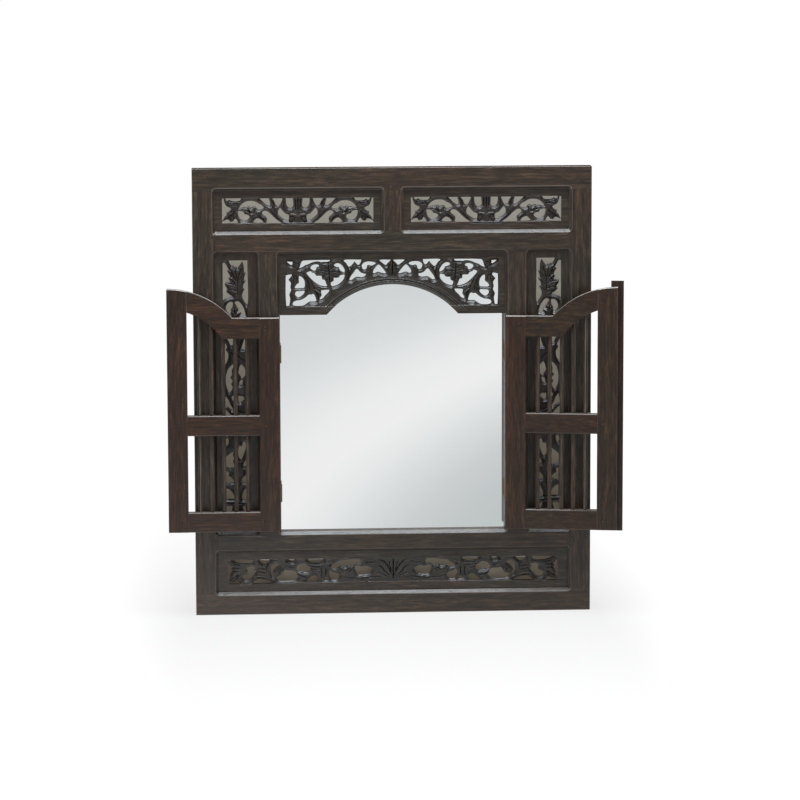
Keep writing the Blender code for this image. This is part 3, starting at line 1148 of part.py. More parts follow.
def build():
    """The whole mirror."""
    members = frame_members()
    top_panels()
    side_panels()
    arch_panel()
    half_width_panel("bottom_panel", OPENINGS["bottom"], BOTTOM_DRAWING_SHARES, BOTTOM_HOLE_SHARES)
    mirror_and_backing(members)
    hangers(members["top_rail"])
    shutter("left", -1, LEFT_OPEN_DEGREES, members["left_mullion"])
    shutter("right", 1, RIGHT_OPEN_DEGREES, members["right_mullion"])
    bpy.context.view_layer.update()


build()
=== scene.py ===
import math

import bmesh
import bpy
import numpy as np
from mathutils import Matrix, Vector, bvhtree, geometry, kdtree


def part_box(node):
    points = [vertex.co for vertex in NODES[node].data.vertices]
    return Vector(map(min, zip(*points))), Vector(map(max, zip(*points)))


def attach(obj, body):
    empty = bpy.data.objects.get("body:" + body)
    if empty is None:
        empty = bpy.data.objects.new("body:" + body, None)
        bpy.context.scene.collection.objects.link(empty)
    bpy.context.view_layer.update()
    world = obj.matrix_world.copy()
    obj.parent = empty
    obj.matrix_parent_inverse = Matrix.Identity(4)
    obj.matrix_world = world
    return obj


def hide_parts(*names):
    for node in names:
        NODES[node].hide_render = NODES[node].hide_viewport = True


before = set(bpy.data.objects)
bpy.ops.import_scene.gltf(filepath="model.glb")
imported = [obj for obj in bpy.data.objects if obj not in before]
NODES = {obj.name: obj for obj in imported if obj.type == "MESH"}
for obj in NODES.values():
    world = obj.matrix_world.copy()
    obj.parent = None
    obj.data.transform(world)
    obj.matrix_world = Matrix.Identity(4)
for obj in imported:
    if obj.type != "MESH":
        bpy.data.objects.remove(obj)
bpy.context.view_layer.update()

MM = 0.001
FLOOR_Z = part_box("bottom_rail")[0][2]

# Camera, fitted to the corners of the frame and of the shutters in the photograph
CAMERA_PLACE = (-0.457, -8.032, 0.65)
CAMERA_YAW = math.radians(3.38)
CAMERA_PITCH = math.radians(8.12)
CAMERA_ROLL = math.radians(-0.16)
FOCAL_PIXELS = 3636
IMAGE_PIXELS = 800
SENSOR_MM = 36
FAR_END = 300

# Soft lights
LIGHTS = (
    # name, place, target, width, depth, watts, colour
    ("overhead", (0.05, -0.75, 1.9), (0.05, -0.65, 0), 2.4, 1.5, 165, (0.82, 0.91, 1.0)),
    ("front", (0.05, -2.1, 1.95), (0.05, -0.1, -0.4), 2.2, 0.9, 16, (0.88, 0.94, 1.0)),
    ("key", (-2.4, -3.6, 2.2), (0, 0, -0.5), 1.8, 1.8, 30, (1, 1, 1)),
)
ROOM_LEVEL = 0.35

# Floor: a painted reflection for gloss and glass, in tones along a line aslant in the view, with
# painted brighter light under the object; and a glow of its own, dimmed near it as painted shadow
VIEW_REACH = 8.02
VIEW_ACROSS = 0.457
VIEW_RISE = 1.625
TONE_SLANT = 1.7
TONE_BEND = 1.2
TONE_MIDDLE = (0.457, 1.17)
TONE_RANGE = (1.884, 3.082)
FLOOR_PAINTED_REFLECTION = ((0.0, (0.70, 0.735, 0.745)), (0.1, (0.73, 0.765, 0.775)), (0.2, (0.79, 0.82, 0.83)),
               (0.3, (0.87, 0.895, 0.905)), (0.4, (0.935, 0.945, 0.955)), (0.5, (0.955, 0.965, 0.97)),
               (0.6, (0.88, 0.905, 0.915)), (0.7, (0.765, 0.8, 0.81)), (0.8, (0.67, 0.705, 0.71)),
               (0.9, (0.61, 0.65, 0.655)), (1.0, (0.575, 0.635, 0.63)))
UNDER_RANGE = (-1.02, -0.7)
UNDER_PAINTED_LIGHT = 2.2
FLOOR_SIZE = 160
FLOOR_CELLS = 8
FLOOR_SHADE = (0.062, 0.058, 0.055)
FLOOR_GLOW = 0.79
PAINTED_SHADOW_RANGE = (0.1, 2.0)
SHADOW_END = 0.45
SHADOW_FALL = 8.0

# Card behind the frame: a sheet that glows with painted shade for the wall that its openings show,
# darker towards the floor
CARD_INSET = 6 * MM
CARD_Y = 8 * MM
CARD_RANGE = (-0.95, 0.0)
CARD_PAINTED_SHADE = ((0.0, (0.055, 0.042, 0.028)), (0.2, (0.08, 0.064, 0.046)), (0.45, (0.125, 0.11, 0.085)),
              (0.75, (0.25, 0.235, 0.2)), (0.95, (0.3, 0.29, 0.255)))
CARD_PAINTED_GLOW = 0.75
CARD_SHADE = (0.3, 0.28, 0.24)

# Wood colours: the darkest, middle and lightest tone of each kind, where the grain reaches them,
# its darker and lighter dashes, its greener and redder patches, and its pores
WOOD_TONES = {
    "frame": ((0.0112, 0.0070, 0.0040), (0.0208, 0.0134, 0.0078), (0.0360, 0.0248, 0.0158)),
    "door": ((0.0102, 0.0046, 0.0020), (0.0185, 0.0085, 0.0038), (0.0320, 0.0162, 0.0080)),
    "bar": ((0.0240, 0.0165, 0.0120), (0.0400, 0.0285, 0.0210), (0.0660, 0.0480, 0.0370)),
    "carved": ((0.0105, 0.0068, 0.0041), (0.0192, 0.0129, 0.0080), (0.0350, 0.0258, 0.0175)),
}
TONE_PLACES = (0.36, 0.5, 0.62)
DASH_STOPS = ((0.36, 0.72), (0.5, 1.0), (0.68, 1.75))
RED_STOPS = ((0.36, 0.0), (0.64, 1.0))
GREENER = (0.96, 1.02, 1.0)
REDDER = (1.16, 0.92, 0.84)
REDDER_SHARES = {"bottom_rail": 0.6, "right_shutter_hinge_stile": 0.5}
PORE_STOPS = ((0.6, 0.0), (0.7, 1.0))
PORE_TONE = (0.004, 0.003, 0.003)
PORE_SHARE = 0.7

# Turns that lay each grain direction along a texture's X, and the noises' scales, X first
GRAIN_TURNS = {"X": (0, 0, 0), "Z": (0, math.radians(90), 0)}
OFFSET_SHARES = (1, 0.37, 0.61)
WANDER_SCALE = (1.6, 6, 6)
WANDER_Y, WANDER_Z = 0.05, 0.04
STREAK_SCALE = (3, 110, 110)
FIBRE_SCALE = (22, 520, 520)
PORE_SCALE = (80, 1300, 1300)
DASH_SCALE = (26, 230, 230)
PATCH_SCALE = (2.2, 5, 5)
BROKEN_SCALE = (12, 60, 60)
TOOLING_SCALE = (220, 220, 220)
COARSE = 0.6

# Wear on arrises: its tone, how far it varies and its least. Faces that look up add painted
# highlight: a gain on the rubbed tone, a pale tone, and a paler colour on some shutter members.
# Faces that look straight up on the frame's own top are dull
EDGE_WEAR_AND_HIGHLIGHT = (0.16, 0.142, 0.125)
PAINTED_HIGHLIGHT_EDGE = (0.52, 0.475, 0.43)
HIGHLIGHTED_MEMBERS = ("hinge_stile", "meeting_stile", "top_rail")
ARRIS_WEAR = {"frame": (0.5, 0.25), "door": (0.26, 0.08), "bar": (0.5, 0.25), "carved": (0.5, 0.25)}
TOP_HIGHLIGHT_GAIN = {"frame": 1.2, "door": 4.2, "bar": 1.2}
TOP_PAINTED_HIGHLIGHT = 0.32
UPWARD_RANGE = (0.35, 0.85)
LEVEL_RANGE = (0.9, 0.98)
LEVEL_ROUGHNESS = 0.4

# Wood's sheen, roughness and fine relief, and how its cuts and their hidden faces differ: the cut
# zone darker, and painted shade on the pierced walls and in the grooves
SHEEN_SHARES = {"frame": 0.36, "door": 0.31, "bar": 0.36, "carved": 0.36}
LEAST_ROUGHNESS = 0.26
PATCH_ROUGHNESS = 0.2
PORE_ROUGHNESS = 0.25
FIBRE_RISE = 0.45
PORE_SINK = 0.9
WOOD_BUMP = (0.3, 0.0005)
CUT_SHADE = (0.003, 0.002, 0.0015)
CUT_SHADE_SHARE = 0.45
CUT_SHEEN_SHARE = 0.42
CUT_POLISH = 0.05
TOOLING_RISE = 1.2
HOLLOW_PAINTED_SHADE = 0.8
HIDDEN_DULL_SHARE = 0.75
HIDDEN_ROUGHNESS = 0.3

# Mirror, metals and hardboard
HAZE_SCALE = (3, 3, 3)
HAZE_TONES = ((0.869, 0.867, 0.864), (0.909, 0.897, 0.888))
HAZE_ROUGHNESS = 0.03
METALS = {
    # two tones, least roughness, scale of the tarnish
    "aged_brass": ((0.09, 0.068, 0.04), (0.21, 0.165, 0.1), 0.34, 60),
    "dull_steel": ((0.16, 0.16, 0.17), (0.4, 0.4, 0.41), 0.3, 40),
}
TARNISH_ROUGHNESS = 0.3
SCRATCH_SCALE = (300, 2500, 2500)
SCRATCH_BUMP = (0.12, 0.0002)
FELT_SCALE = (900, 900, 900)
FELT_CLOUDS = 5
FELT_STOPS = ((0.3, (0.11, 0.065, 0.036)), (0.7, (0.2, 0.13, 0.075)))
FELT_ROUGHNESS = (0.2, 0.65)
FELT_BUMP = (0.3, 0.0004)

# Plain members: the roundings of arrises and mouldings, what counts as either, and the joints
EASED = 1.0 * MM
RAIL_EASED = 1.8 * MM
BAR_EASED = 0.9 * MM
MOULDED = 3.0 * MM
WIDE_FACE = 2.4 * MM
JOINT_CLOSED = 0.4 * MM
JOINT_REACH = 0.7 * MM
SHORTEST_EASED = 1.5 * MM
MERGED = 0.01 * MM
FLAT_ANGLE = math.radians(0.6)
BENT_ANGLE = math.radians(0.7)
EASED_ANGLE = math.radians(28)
SHARP_ANGLE = math.radians(32)
MOULDED_ANGLE = math.radians(60)
ROUND_STEPS = 3

# Where each kind's stretches of grain start, and the way from one member's to the next one's
LEVEL_MEMBERS = ("top_rail", "bottom_rail", "cross_rail", "sill_rail")
UPRIGHT_MEMBERS = ("left_stile", "right_stile", "left_mullion", "right_mullion", "centre_muntin")
SHUTTER_MEMBERS = (("hinge_stile", "Z"), ("meeting_stile", "Z"), ("top_rail", "X"),
                   ("middle_rail", "X"), ("bottom_rail", "X"))
SHUTTER_BARS = 5
UPRIGHT_START = 20
SHUTTER_START = 40
BAR_START = 60
STRIP_START = 71
PANEL_START = 80
FRAME_STEP = 3.1
SHUTTER_STEP = 2.7
PANEL_STEP = 2.9


class Shading:
    """A material's node tree, with short ways to add and link nodes."""

    def __init__(self, name):
        self.material = bpy.data.materials.new(name)
        self.material.use_nodes = True
        self.tree = self.material.node_tree
        self.shader = self.tree.nodes["Principled BSDF"]
        self.output = self.tree.nodes["Material Output"]

    def add(self, kind, inputs=None, **settings):
        """A new node, with its settings and its inputs set or linked."""
        node = self.tree.nodes.new("ShaderNode" + kind)
        for key, value in settings.items():
            setattr(node, key, value)
        for key, value in (inputs or {}).items():
            self.feed(node, key, value)
        return node

    def feed(self, node, key, value):
        """Links a socket to an input, or sets the input's value."""
        if isinstance(value, bpy.types.NodeSocket):
            self.tree.links.new(value, node.inputs[key])
        else:
            node.inputs[key].default_value = value

    def math(self, operation, first, second=0.5, clamp=False):
        """A Math node's result."""
        return self.add("Math", {0: first, 1: second}, operation=operation, use_clamp=clamp).outputs[0]

    def times(self, first, second):
        """A product."""
        return self.math("MULTIPLY", first, second)

    def plus(self, first, second, clamp=False):
        """A sum, which may be kept between 0 and 1."""
        return self.math("ADD", first, second, clamp)

    def minus(self, first, second):
        """A difference."""
        return self.math("SUBTRACT", first, second)

    def span(self, value, low, high, start=0.0, end=1.0, kind="LINEAR"):
        """A value between low and high brought between start and end."""
        return self.add("MapRange", {"Value": value, "From Min": low, "From Max": high,
                                     "To Min": start, "To Max": end},
                        interpolation_type=kind).outputs[0]

    def ramp(self, value, *stops):
        """A colour ramp over (place, colour) stops."""
        node = self.add("ValToRGB", {"Fac": value})
        node.color_ramp.elements.remove(node.color_ramp.elements[1])
        for n, (place, colour) in enumerate(stops):
            stop = node.color_ramp.elements[0] if n == 0 else node.color_ramp.elements.new(place)
            stop.position = place
            stop.color = (*colour, 1) if isinstance(colour, tuple) else (colour, colour, colour, 1)
        return node.outputs["Color"]

    def mix(self, factor, first, second, blend="MIX"):
        """Two colours mixed."""
        node = self.add("Mix", data_type="RGBA", blend_type=blend)
        self.feed(node, 0, factor)
        self.feed(node, 6, first if isinstance(first, bpy.types.NodeSocket) else (*first, 1))
        self.feed(node, 7, second if isinstance(second, bpy.types.NodeSocket) else (*second, 1))
        return node.outputs[2]

    def tint(self, colour, tone):
        """A colour multiplied by another."""
        return self.mix(1.0, colour, tone, "MULTIPLY")

    def noise(self, vector, scale, detail=2.0, roughness=0.5):
        """A noise value over a vector, at one scale or at a scale for each axis."""
        if isinstance(scale, tuple):
            vector, scale = self.add("Mapping", {"Vector": vector, "Scale": scale}).outputs[0], 1.0
        return self.add("TexNoise", {"Vector": vector, "Scale": scale, "Detail": detail,
                                     "Roughness": roughness}).outputs[0]

    def layer(self, name):
        """A mesh attribute's value."""
        return self.add("Attribute", attribute_name=name).outputs["Fac"]

    def axes(self, output):
        """The X, Y and Z of a point or a direction on the surface."""
        return self.add("SeparateXYZ", {0: self.add("NewGeometry").outputs[output]}).outputs

    def surface(self, **inputs):
        """Sets or links the Principled shader's inputs."""
        for key, value in inputs.items():
            self.feed(self.shader, key.replace("_", " ").title().replace("Ior", "IOR"), value)

    def bump(self, height, strength, distance):
        """Raises the surface by a height."""
        normal = self.add("Bump", {"Height": height, "Strength": strength, "Distance": distance})
        self.feed(self.shader, "Normal", normal.outputs[0])


def wood(name, grain, tones, offset, dull_top=False, top_highlight=EDGE_WEAR_AND_HIGHLIGHT):
    """Dark stained open-grained wood: streaks, fibres, pores, rubbed arrises with painted highlights
    and a low sheen. Plain wood gets more painted highlight where it looks up; carved wood is darker
    in its cut zone, with painted shade on its pierced walls and in its grooves.
    """
    s = Shading(name + "_wood")
    place = s.add("TexCoord").outputs["Object"]
    laid = s.add("Mapping", {"Vector": place, "Rotation": GRAIN_TURNS[grain],
                             "Location": tuple(offset * share for share in OFFSET_SHARES)}).outputs[0]
    wander = s.noise(laid, WANDER_SCALE)
    sway = s.add("CombineXYZ", {"Y": s.times(wander, WANDER_Y), "Z": s.times(wander, WANDER_Z)})
    bent = s.add("VectorMath", {0: laid, 1: sway.outputs[0]}, operation="ADD").outputs[0]
    streaks = s.noise(bent, STREAK_SCALE, 3, COARSE)
    fibres = s.noise(bent, FIBRE_SCALE, 3, COARSE)
    dashes = s.noise(bent, DASH_SCALE, 2, COARSE)
    pores = s.ramp(s.noise(bent, PORE_SCALE, 1), *PORE_STOPS)
    patches = s.noise(laid, PATCH_SCALE, 3)
    colour = s.ramp(s.plus(s.times(streaks, 0.5), s.times(fibres, 0.5)),
                    *zip(TONE_PLACES, WOOD_TONES[tones]))
    colour = s.tint(colour, s.ramp(dashes, *DASH_STOPS))
    redness = s.plus(s.ramp(patches, *RED_STOPS), REDDER_SHARES.get(name, 0.0), clamp=True)
    colour = s.mix(redness, s.tint(colour, GREENER), s.tint(colour, REDDER))
    colour = s.mix(s.times(pores, PORE_SHARE), colour, PORE_TONE)
    spread, least = ARRIS_WEAR[tones]
    broken = s.plus(s.times(s.noise(bent, BROKEN_SCALE), spread), least)
    worn_and_lit = s.math("MULTIPLY", s.layer("wear_and_highlight"), broken, clamp=True)
    roughness = s.plus(s.times(patches, PATCH_ROUGHNESS), LEAST_ROUGHNESS)
    roughness = s.plus(roughness, s.times(pores, PORE_ROUGHNESS), clamp=True)
    height = s.minus(s.times(fibres, FIBRE_RISE), s.times(pores, PORE_SINK))
    sheen = SHEEN_SHARES[tones]
    if tones == "carved":
        # The mesh's rubbed tone here includes painted highlights on rims, ridges, the grooves' lips and
        # scoops
        colour = s.mix(worn_and_lit, colour, EDGE_WEAR_AND_HIGHLIGHT)
        cut = s.layer("cut")
        # Painted shade: pierced walls and grooves go darker, rougher and duller
        shaded_hollows = s.math("MAXIMUM", s.layer("wall"), s.layer("groove"))
        colour = s.mix(s.times(cut, CUT_SHADE_SHARE), colour, CUT_SHADE)
        colour = s.mix(s.times(shaded_hollows, HOLLOW_PAINTED_SHADE), colour, CUT_SHADE)
        roughness = s.minus(roughness, s.times(cut, CUT_POLISH))
        roughness = s.plus(roughness, s.times(shaded_hollows, HIDDEN_ROUGHNESS), clamp=True)
        height = s.plus(height, s.times(s.noise(place, TOOLING_SCALE), TOOLING_RISE))
        sheen = s.plus(s.times(cut, CUT_SHEEN_SHARE - sheen), sheen)
        sheen = s.times(sheen, s.minus(1.0, s.times(shaded_hollows, HIDDEN_DULL_SHARE)))
    else:
        # Painted highlight: faces that look up get more of the rubbed tone, a pale tone of their own and
        # a paler colour
        rise = s.axes("Normal")["Z"]
        upward_highlight = s.span(rise, *UPWARD_RANGE)
        worn_and_lit = s.times(worn_and_lit, s.plus(s.times(upward_highlight, TOP_HIGHLIGHT_GAIN[tones]), 1.0))
        worn_and_lit = s.plus(worn_and_lit, s.times(upward_highlight, TOP_PAINTED_HIGHLIGHT), clamp=True)
        if dull_top:
            level = s.span(rise, *LEVEL_RANGE)
            slanting = s.minus(1.0, level)
            worn_and_lit = s.times(worn_and_lit, slanting)
            roughness = s.plus(roughness, s.times(level, LEVEL_ROUGHNESS), clamp=True)
            sheen = s.times(slanting, sheen)
        colour = s.mix(worn_and_lit, colour, s.mix(upward_highlight, EDGE_WEAR_AND_HIGHLIGHT, top_highlight))
    s.surface(base_color=colour, roughness=roughness, specular_ior_level=sheen)
    s.bump(height, *WOOD_BUMP)
    return s.material


def mirror_material():
    """Silvered glass with the faintest haze."""
    s = Shading("mirror_silver")
    haze = s.noise(s.add("TexCoord").outputs["Object"], HAZE_SCALE, 4)
    s.surface(base_color=s.mix(haze, *HAZE_TONES), metallic=1.0, roughness=s.times(haze, HAZE_ROUGHNESS))
    return s.material


def metal(name):
    """Aged metal with cloudy tarnish and fine scratches."""
    low, high, roughness, scale = METALS[name]
    s = Shading(name)
    place = s.add("TexCoord").outputs["Object"]
    tarnish = s.noise(place, scale, 4)
    s.surface(base_color=s.mix(tarnish, low, high), metallic=1.0,
              roughness=s.plus(s.times(tarnish, TARNISH_ROUGHNESS), roughness))
    s.bump(s.noise(place, SCRATCH_SCALE), *SCRATCH_BUMP)
    return s.material


def board_material():
    """Plain brown hardboard."""
    s = Shading("backing_board_face")
    place = s.add("TexCoord").outputs["Object"]
    felt = s.noise(place, FELT_SCALE, 3)
    clouds = s.noise(place, FELT_CLOUDS, 3)
    spread, least = FELT_ROUGHNESS
    s.surface(base_color=s.ramp(s.plus(s.times(felt, 0.5), s.times(clouds, 0.5)), *FELT_STOPS),
              roughness=s.plus(s.times(felt, spread), least))
    s.bump(felt, *FELT_BUMP)
    return s.material


def placed(name, data):
    """A new object in the scene."""
    thing = bpy.data.objects.new(name, data)
    bpy.context.scene.collection.objects.link(thing)
    return thing


def make_camera():
    """The photograph's viewpoint."""
    yaw, pitch, roll = CAMERA_YAW, CAMERA_PITCH, CAMERA_ROLL
    ahead = Vector((math.sin(yaw) * math.cos(pitch), math.cos(yaw) * math.cos(pitch), -math.sin(pitch)))
    level = Vector((math.cos(yaw), -math.sin(yaw), 0))
    upright = level.cross(ahead)
    right = level * math.cos(roll) + upright * math.sin(roll)
    up = upright * math.cos(roll) - level * math.sin(roll)
    data = bpy.data.cameras.new("view")
    data.sensor_width = SENSOR_MM
    data.lens = FOCAL_PIXELS / IMAGE_PIXELS * SENSOR_MM
    data.clip_end = FAR_END
    camera = placed("view", data)
    turn = Matrix((right, up, -ahead)).transposed().to_4x4()
    camera.matrix_world = Matrix.Translation(CAMERA_PLACE) @ turn
    bpy.context.scene.camera = camera


def make_lights():
    """Soft lights that each face a point, and a white room that lights less than it shows."""
    for name, place, target, width, depth, watts, colour in LIGHTS:
        data = bpy.data.lights.new(name, "AREA")
        data.shape = "RECTANGLE"
        data.size = width
        data.size_y = depth
        data.energy = watts
        data.color = colour
        light = placed(name, data)
        light.location = place
        light.rotation_euler = (Vector(target) - Vector(place)).to_track_quat("-Z", "Y").to_euler()
    world = bpy.data.worlds.new("room")
    bpy.context.scene.world = world
    world.use_nodes = True
    tree = world.node_tree
    background = tree.nodes["Background"]
    path = tree.nodes.new("ShaderNodeLightPath")
    level = tree.nodes.new("ShaderNodeMapRange")
    level.inputs["To Min"].default_value = ROOM_LEVEL
    level.inputs["To Max"].default_value = 1.0
    tree.links.new(path.outputs["Is Camera Ray"], level.inputs["Value"])
    tree.links.new(level.outputs[0], background.inputs["Strength"])
    background.inputs["Color"].default_value = (1, 1, 1, 1)


def make_card():
    """A sheet just behind the frame that glows with painted shade for the wall its openings show, and
    that nothing else sees.
    """
    (left, _, low), (right, _, high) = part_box("bottom_rail")[0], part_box("top_rail")[1]
    left, low, right, high = left + CARD_INSET, low + CARD_INSET, right - CARD_INSET, high - CARD_INSET
    corners = [(x, CARD_Y, z) for x, z in ((left, low), (right, low), (right, high), (left, high))]
    mesh = bpy.data.meshes.new("wall_behind")
    mesh.from_pydata(corners, [], [(0, 1, 2, 3)])
    card = placed("wall_behind", mesh)
    s = Shading("wall_in_shade")
    s.tree.nodes.remove(s.shader)
    # Painted shade: a glow that is darker towards the floor, on top of the sheet's own lit matt colour
    tone = s.ramp(s.span(s.axes("Position")["Z"], *CARD_RANGE), *CARD_PAINTED_SHADE)
    glow = s.add("Emission", {"Color": tone, "Strength": CARD_PAINTED_GLOW})
    matt = s.add("BsdfDiffuse", {"Color": (*CARD_SHADE, 1)})
    lit = s.add("AddShader", {0: glow.outputs[0], 1: matt.outputs[0]})
    seen = s.times(s.add("LightPath").outputs["Is Camera Ray"],
                   s.minus(1.0, s.add("NewGeometry").outputs["Backfacing"]))
    both = s.add("MixShader", {0: seen, 1: s.add("BsdfTransparent").outputs[0], 2: lit.outputs[0]})
    s.feed(s.output, "Surface", both.outputs[0])
    mesh.materials.append(s.material)


def painted_floor_reflection(s):
    """A painted reflection of studio light on the floor, which only gloss and glass see: painted
    brighter light under the object, then a pale band across that falls off to grey farther away and
    to blue-grey at the near right."""
    place = s.axes("Position")
    reach = s.math("DIVIDE", s.minus(VIEW_REACH, place["Y"]), VIEW_REACH)
    across = s.math("DIVIDE", s.plus(place["X"], VIEW_ACROSS), reach)
    depth = s.math("DIVIDE", VIEW_RISE, reach)
    lower = s.minus(depth, TONE_MIDDLE[1])
    bend = s.minus(s.minus(across, TONE_MIDDLE[0]), s.times(lower, TONE_BEND))
    slant = s.plus(across, s.times(depth, TONE_SLANT))
    slant = s.plus(slant, s.times(lower, bend))
    # Painted reflection tones, and painted brighter light under the object
    band = s.ramp(s.span(slant, *TONE_RANGE), *FLOOR_PAINTED_REFLECTION)
    under = s.span(place["Y"], *UNDER_RANGE, 1.0, UNDER_PAINTED_LIGHT, "SMOOTHSTEP")
    return s.add("Emission", {"Color": band, "Strength": under}).outputs[0]


def lit_floor(s):
    """The floor as the camera sees it: white, with the object's real shadow on its matt part and a
    painted shadow where its glow is dimmed near the object.
    """
    place = s.axes("Position")
    # Painted shadow: the glow is least near the object and grows with distance from it
    beside = s.math("MAXIMUM", s.minus(s.math("ABSOLUTE", place["X"]), SHADOW_END), 0.0)
    out = s.math("SQRT", s.plus(s.math("POWER", s.times(beside, SHADOW_FALL), 2.0),
                                s.math("POWER", s.math("ABSOLUTE", place["Y"]), 2.0)))
    glow = s.add("Emission", {"Color": (1, 1, 1, 1), "Strength": s.span(out, *PAINTED_SHADOW_RANGE, FLOOR_GLOW)})
    matt = s.add("BsdfDiffuse", {"Color": (*FLOOR_SHADE, 1)})
    return s.add("AddShader", {0: matt.outputs[0], 1: glow.outputs[0]}).outputs[0]


def make_floor():
    """A white floor that keeps the object's shadow, real and painted, and shows gloss and glass a
    painted reflection.
    """
    bpy.ops.mesh.primitive_grid_add(x_subdivisions=FLOOR_CELLS, y_subdivisions=FLOOR_CELLS,
                                    size=FLOOR_SIZE, location=(0, 0, FLOOR_Z - MM))
    floor = bpy.context.object
    floor.name = "floor"
    s = Shading("floor_white")
    s.tree.nodes.remove(s.shader)
    both = s.add("MixShader", {0: s.add("LightPath").outputs["Is Glossy Ray"],
                               1: lit_floor(s), 2: painted_floor_reflection(s)})
    s.feed(s.output, "Surface", both.outputs[0])
    floor.data.materials.append(s.material)


def show(mesh, material, body, node):
    """A finished wooden piece that rides on a body in place of a CAD node."""
    piece = placed(mesh.name, mesh)
    mesh.materials.append(material)
    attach(piece, body)
    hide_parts(node)


def surfaces(names):
    """The CAD surfaces of some nodes, to measure from."""
    trees = {}
    for name in names:
        shape = bmesh.new()
        shape.from_mesh(NODES[name].data)
        trees[name] = bvhtree.BVHTree.FromBMesh(shape)
        shape.free()
    return trees


WOODEN = surfaces([name for name in NODES if "rail" in name or "stile" in name
                   or "mullion" in name or "muntin" in name])


def in_joint(edge, node):
    """Whether an edge lies in a joint with another wooden member."""
    middle = (edge.verts[0].co + edge.verts[1].co) / 2
    return any(tree.find_nearest(middle, JOINT_REACH)[0] for name, tree in WOODEN.items()
               if name != node)


def eased(node, material, body, grain, width=EASED, longer=0):
    """A member with its long arrises eased and its moulding rounded, in place of its CAD solid.
    The rounded faces are marked for a paler rubbed tone, to which the shader adds painted highlight
    where they look up; its flat faces stay flat. Arrises in a joint stay sharp, and its ends may
    close their joints."""
    shape = bmesh.new()
    shape.from_mesh(NODES[node].data)
    bmesh.ops.remove_doubles(shape, verts=shape.verts, dist=MERGED)
    bmesh.ops.dissolve_limit(shape, angle_limit=FLAT_ANGLE, verts=shape.verts, edges=shape.edges,
                             use_dissolve_boundaries=False)
    wear_and_highlight = shape.faces.layers.float.new("wear_and_highlight")
    axis = "XYZ".index(grain)
    start, end = (corner[axis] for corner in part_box(node))
    for vert in shape.verts:
        vert.co[axis] += longer * (2 * vert.co[axis] - start - end) / (end - start)
    for offset, low, high in ((MOULDED, EASED_ANGLE, MOULDED_ANGLE), (width, MOULDED_ANGLE, math.pi)):
        edges = [edge for edge in shape.edges
                 if len(edge.link_faces) == 2 and edge.calc_length() >= SHORTEST_EASED
                 and low < edge.calc_face_angle_signed(0) < high and not in_joint(edge, node)]
        bmesh.ops.bevel(shape, geom=edges, affect="EDGES", offset=offset, segments=ROUND_STEPS,
                        profile=0.5, clamp_overlap=True)
    for face in shape.faces:
        longest = max(edge.calc_length() for edge in face.edges)
        face[wear_and_highlight] = 1.0 if face.calc_area() < WIDE_FACE * longest else 0.0
    for face in shape.faces:
        face.smooth = face[wear_and_highlight] > 0 or any(
            BENT_ANGLE < edge.calc_face_angle(0) < EASED_ANGLE
            for edge in face.edges if len(edge.link_faces) == 2
            and all(other[wear_and_highlight] == 0 for other in edge.link_faces))
    bmesh.ops.triangulate(shape, faces=[face for face in shape.faces if len(face.verts) > 4])
    mesh = bpy.data.meshes.new(node + "_dressed")
    shape.to_mesh(mesh)
    shape.free()
    rounded = [face.use_smooth for face in mesh.polygons]
    mesh.set_sharp_from_angle(angle=SHARP_ANGLE)
    mesh.polygons.foreach_set("use_smooth", rounded)
    show(mesh, material, body, node)


def dress_members():
    """Every plain wooden member, with its own stretch of grain along its length."""
    for n, node in enumerate(LEVEL_MEMBERS):
        material = wood(node, "X", "frame", n * FRAME_STEP, dull_top=node == "top_rail")
        eased(node, material, "frame", "X")
    for n, node in enumerate(UPRIGHT_MEMBERS):
        eased(node, wood(node, "Z", "frame", UPRIGHT_START + n * FRAME_STEP), "frame", "Z")
    for side in ("left", "right"):
        body = side + "_shutter"
        for n, (member, grain) in enumerate(SHUTTER_MEMBERS):
            node = f"{side}_shutter_{member}"
            material = wood(node, grain, "door", SHUTTER_START + n * SHUTTER_STEP + len(side),
                            top_highlight=PAINTED_HIGHLIGHT_EDGE if member in HIGHLIGHTED_MEMBERS else EDGE_WEAR_AND_HIGHLIGHT)
            if grain == "X":
                eased(node, material, body, grain, RAIL_EASED, JOINT_CLOSED)
            else:
                eased(node, material, body, grain)
        material = wood(body + "_bar", "Z", "bar", BAR_START + len(side))
        for n in range(1, SHUTTER_BARS + 1):
            eased(f"{body}_bar_{n}", material, body, "Z", BAR_EASED)
    eased("meeting_strip", wood("meeting_strip", "Z", "door", STRIP_START), "right_shutter", "Z")


# Arch: its circle's middle and radius and the level of its foot in mm, then its band's grooves,
# the strand between them and its lit lines, by their distance from the edge
ARCH_CIRCLE = (0, 544.5, 194.5)
ARCH_FOOT = 678
ARCH_FADE = 10
ARCH_BAND = (-2, 19)
ARCH_GROOVES = (
    # distance, depth, half width
    (2.6, 1.5, 1.5), (10.3, 1.9, 1.7), (16.0, 1.4, 1.5),
)
STRAND_PLACE = 6.4
STRAND_WIDTH = 3.4
STRAND_DEPTH = 1.1
STRAND_PITCH = 8.5
STRAND_SLANT = 1.2
LIP_WIDTH = 1.8
LIP_DEPTH = 1.2
ARCH_LIT = (4.6, 8.4, 12.8, 18.2)
ARCH_LIT_WIDTH = 0.9
ARCH_LIT_SHARE = 0.9

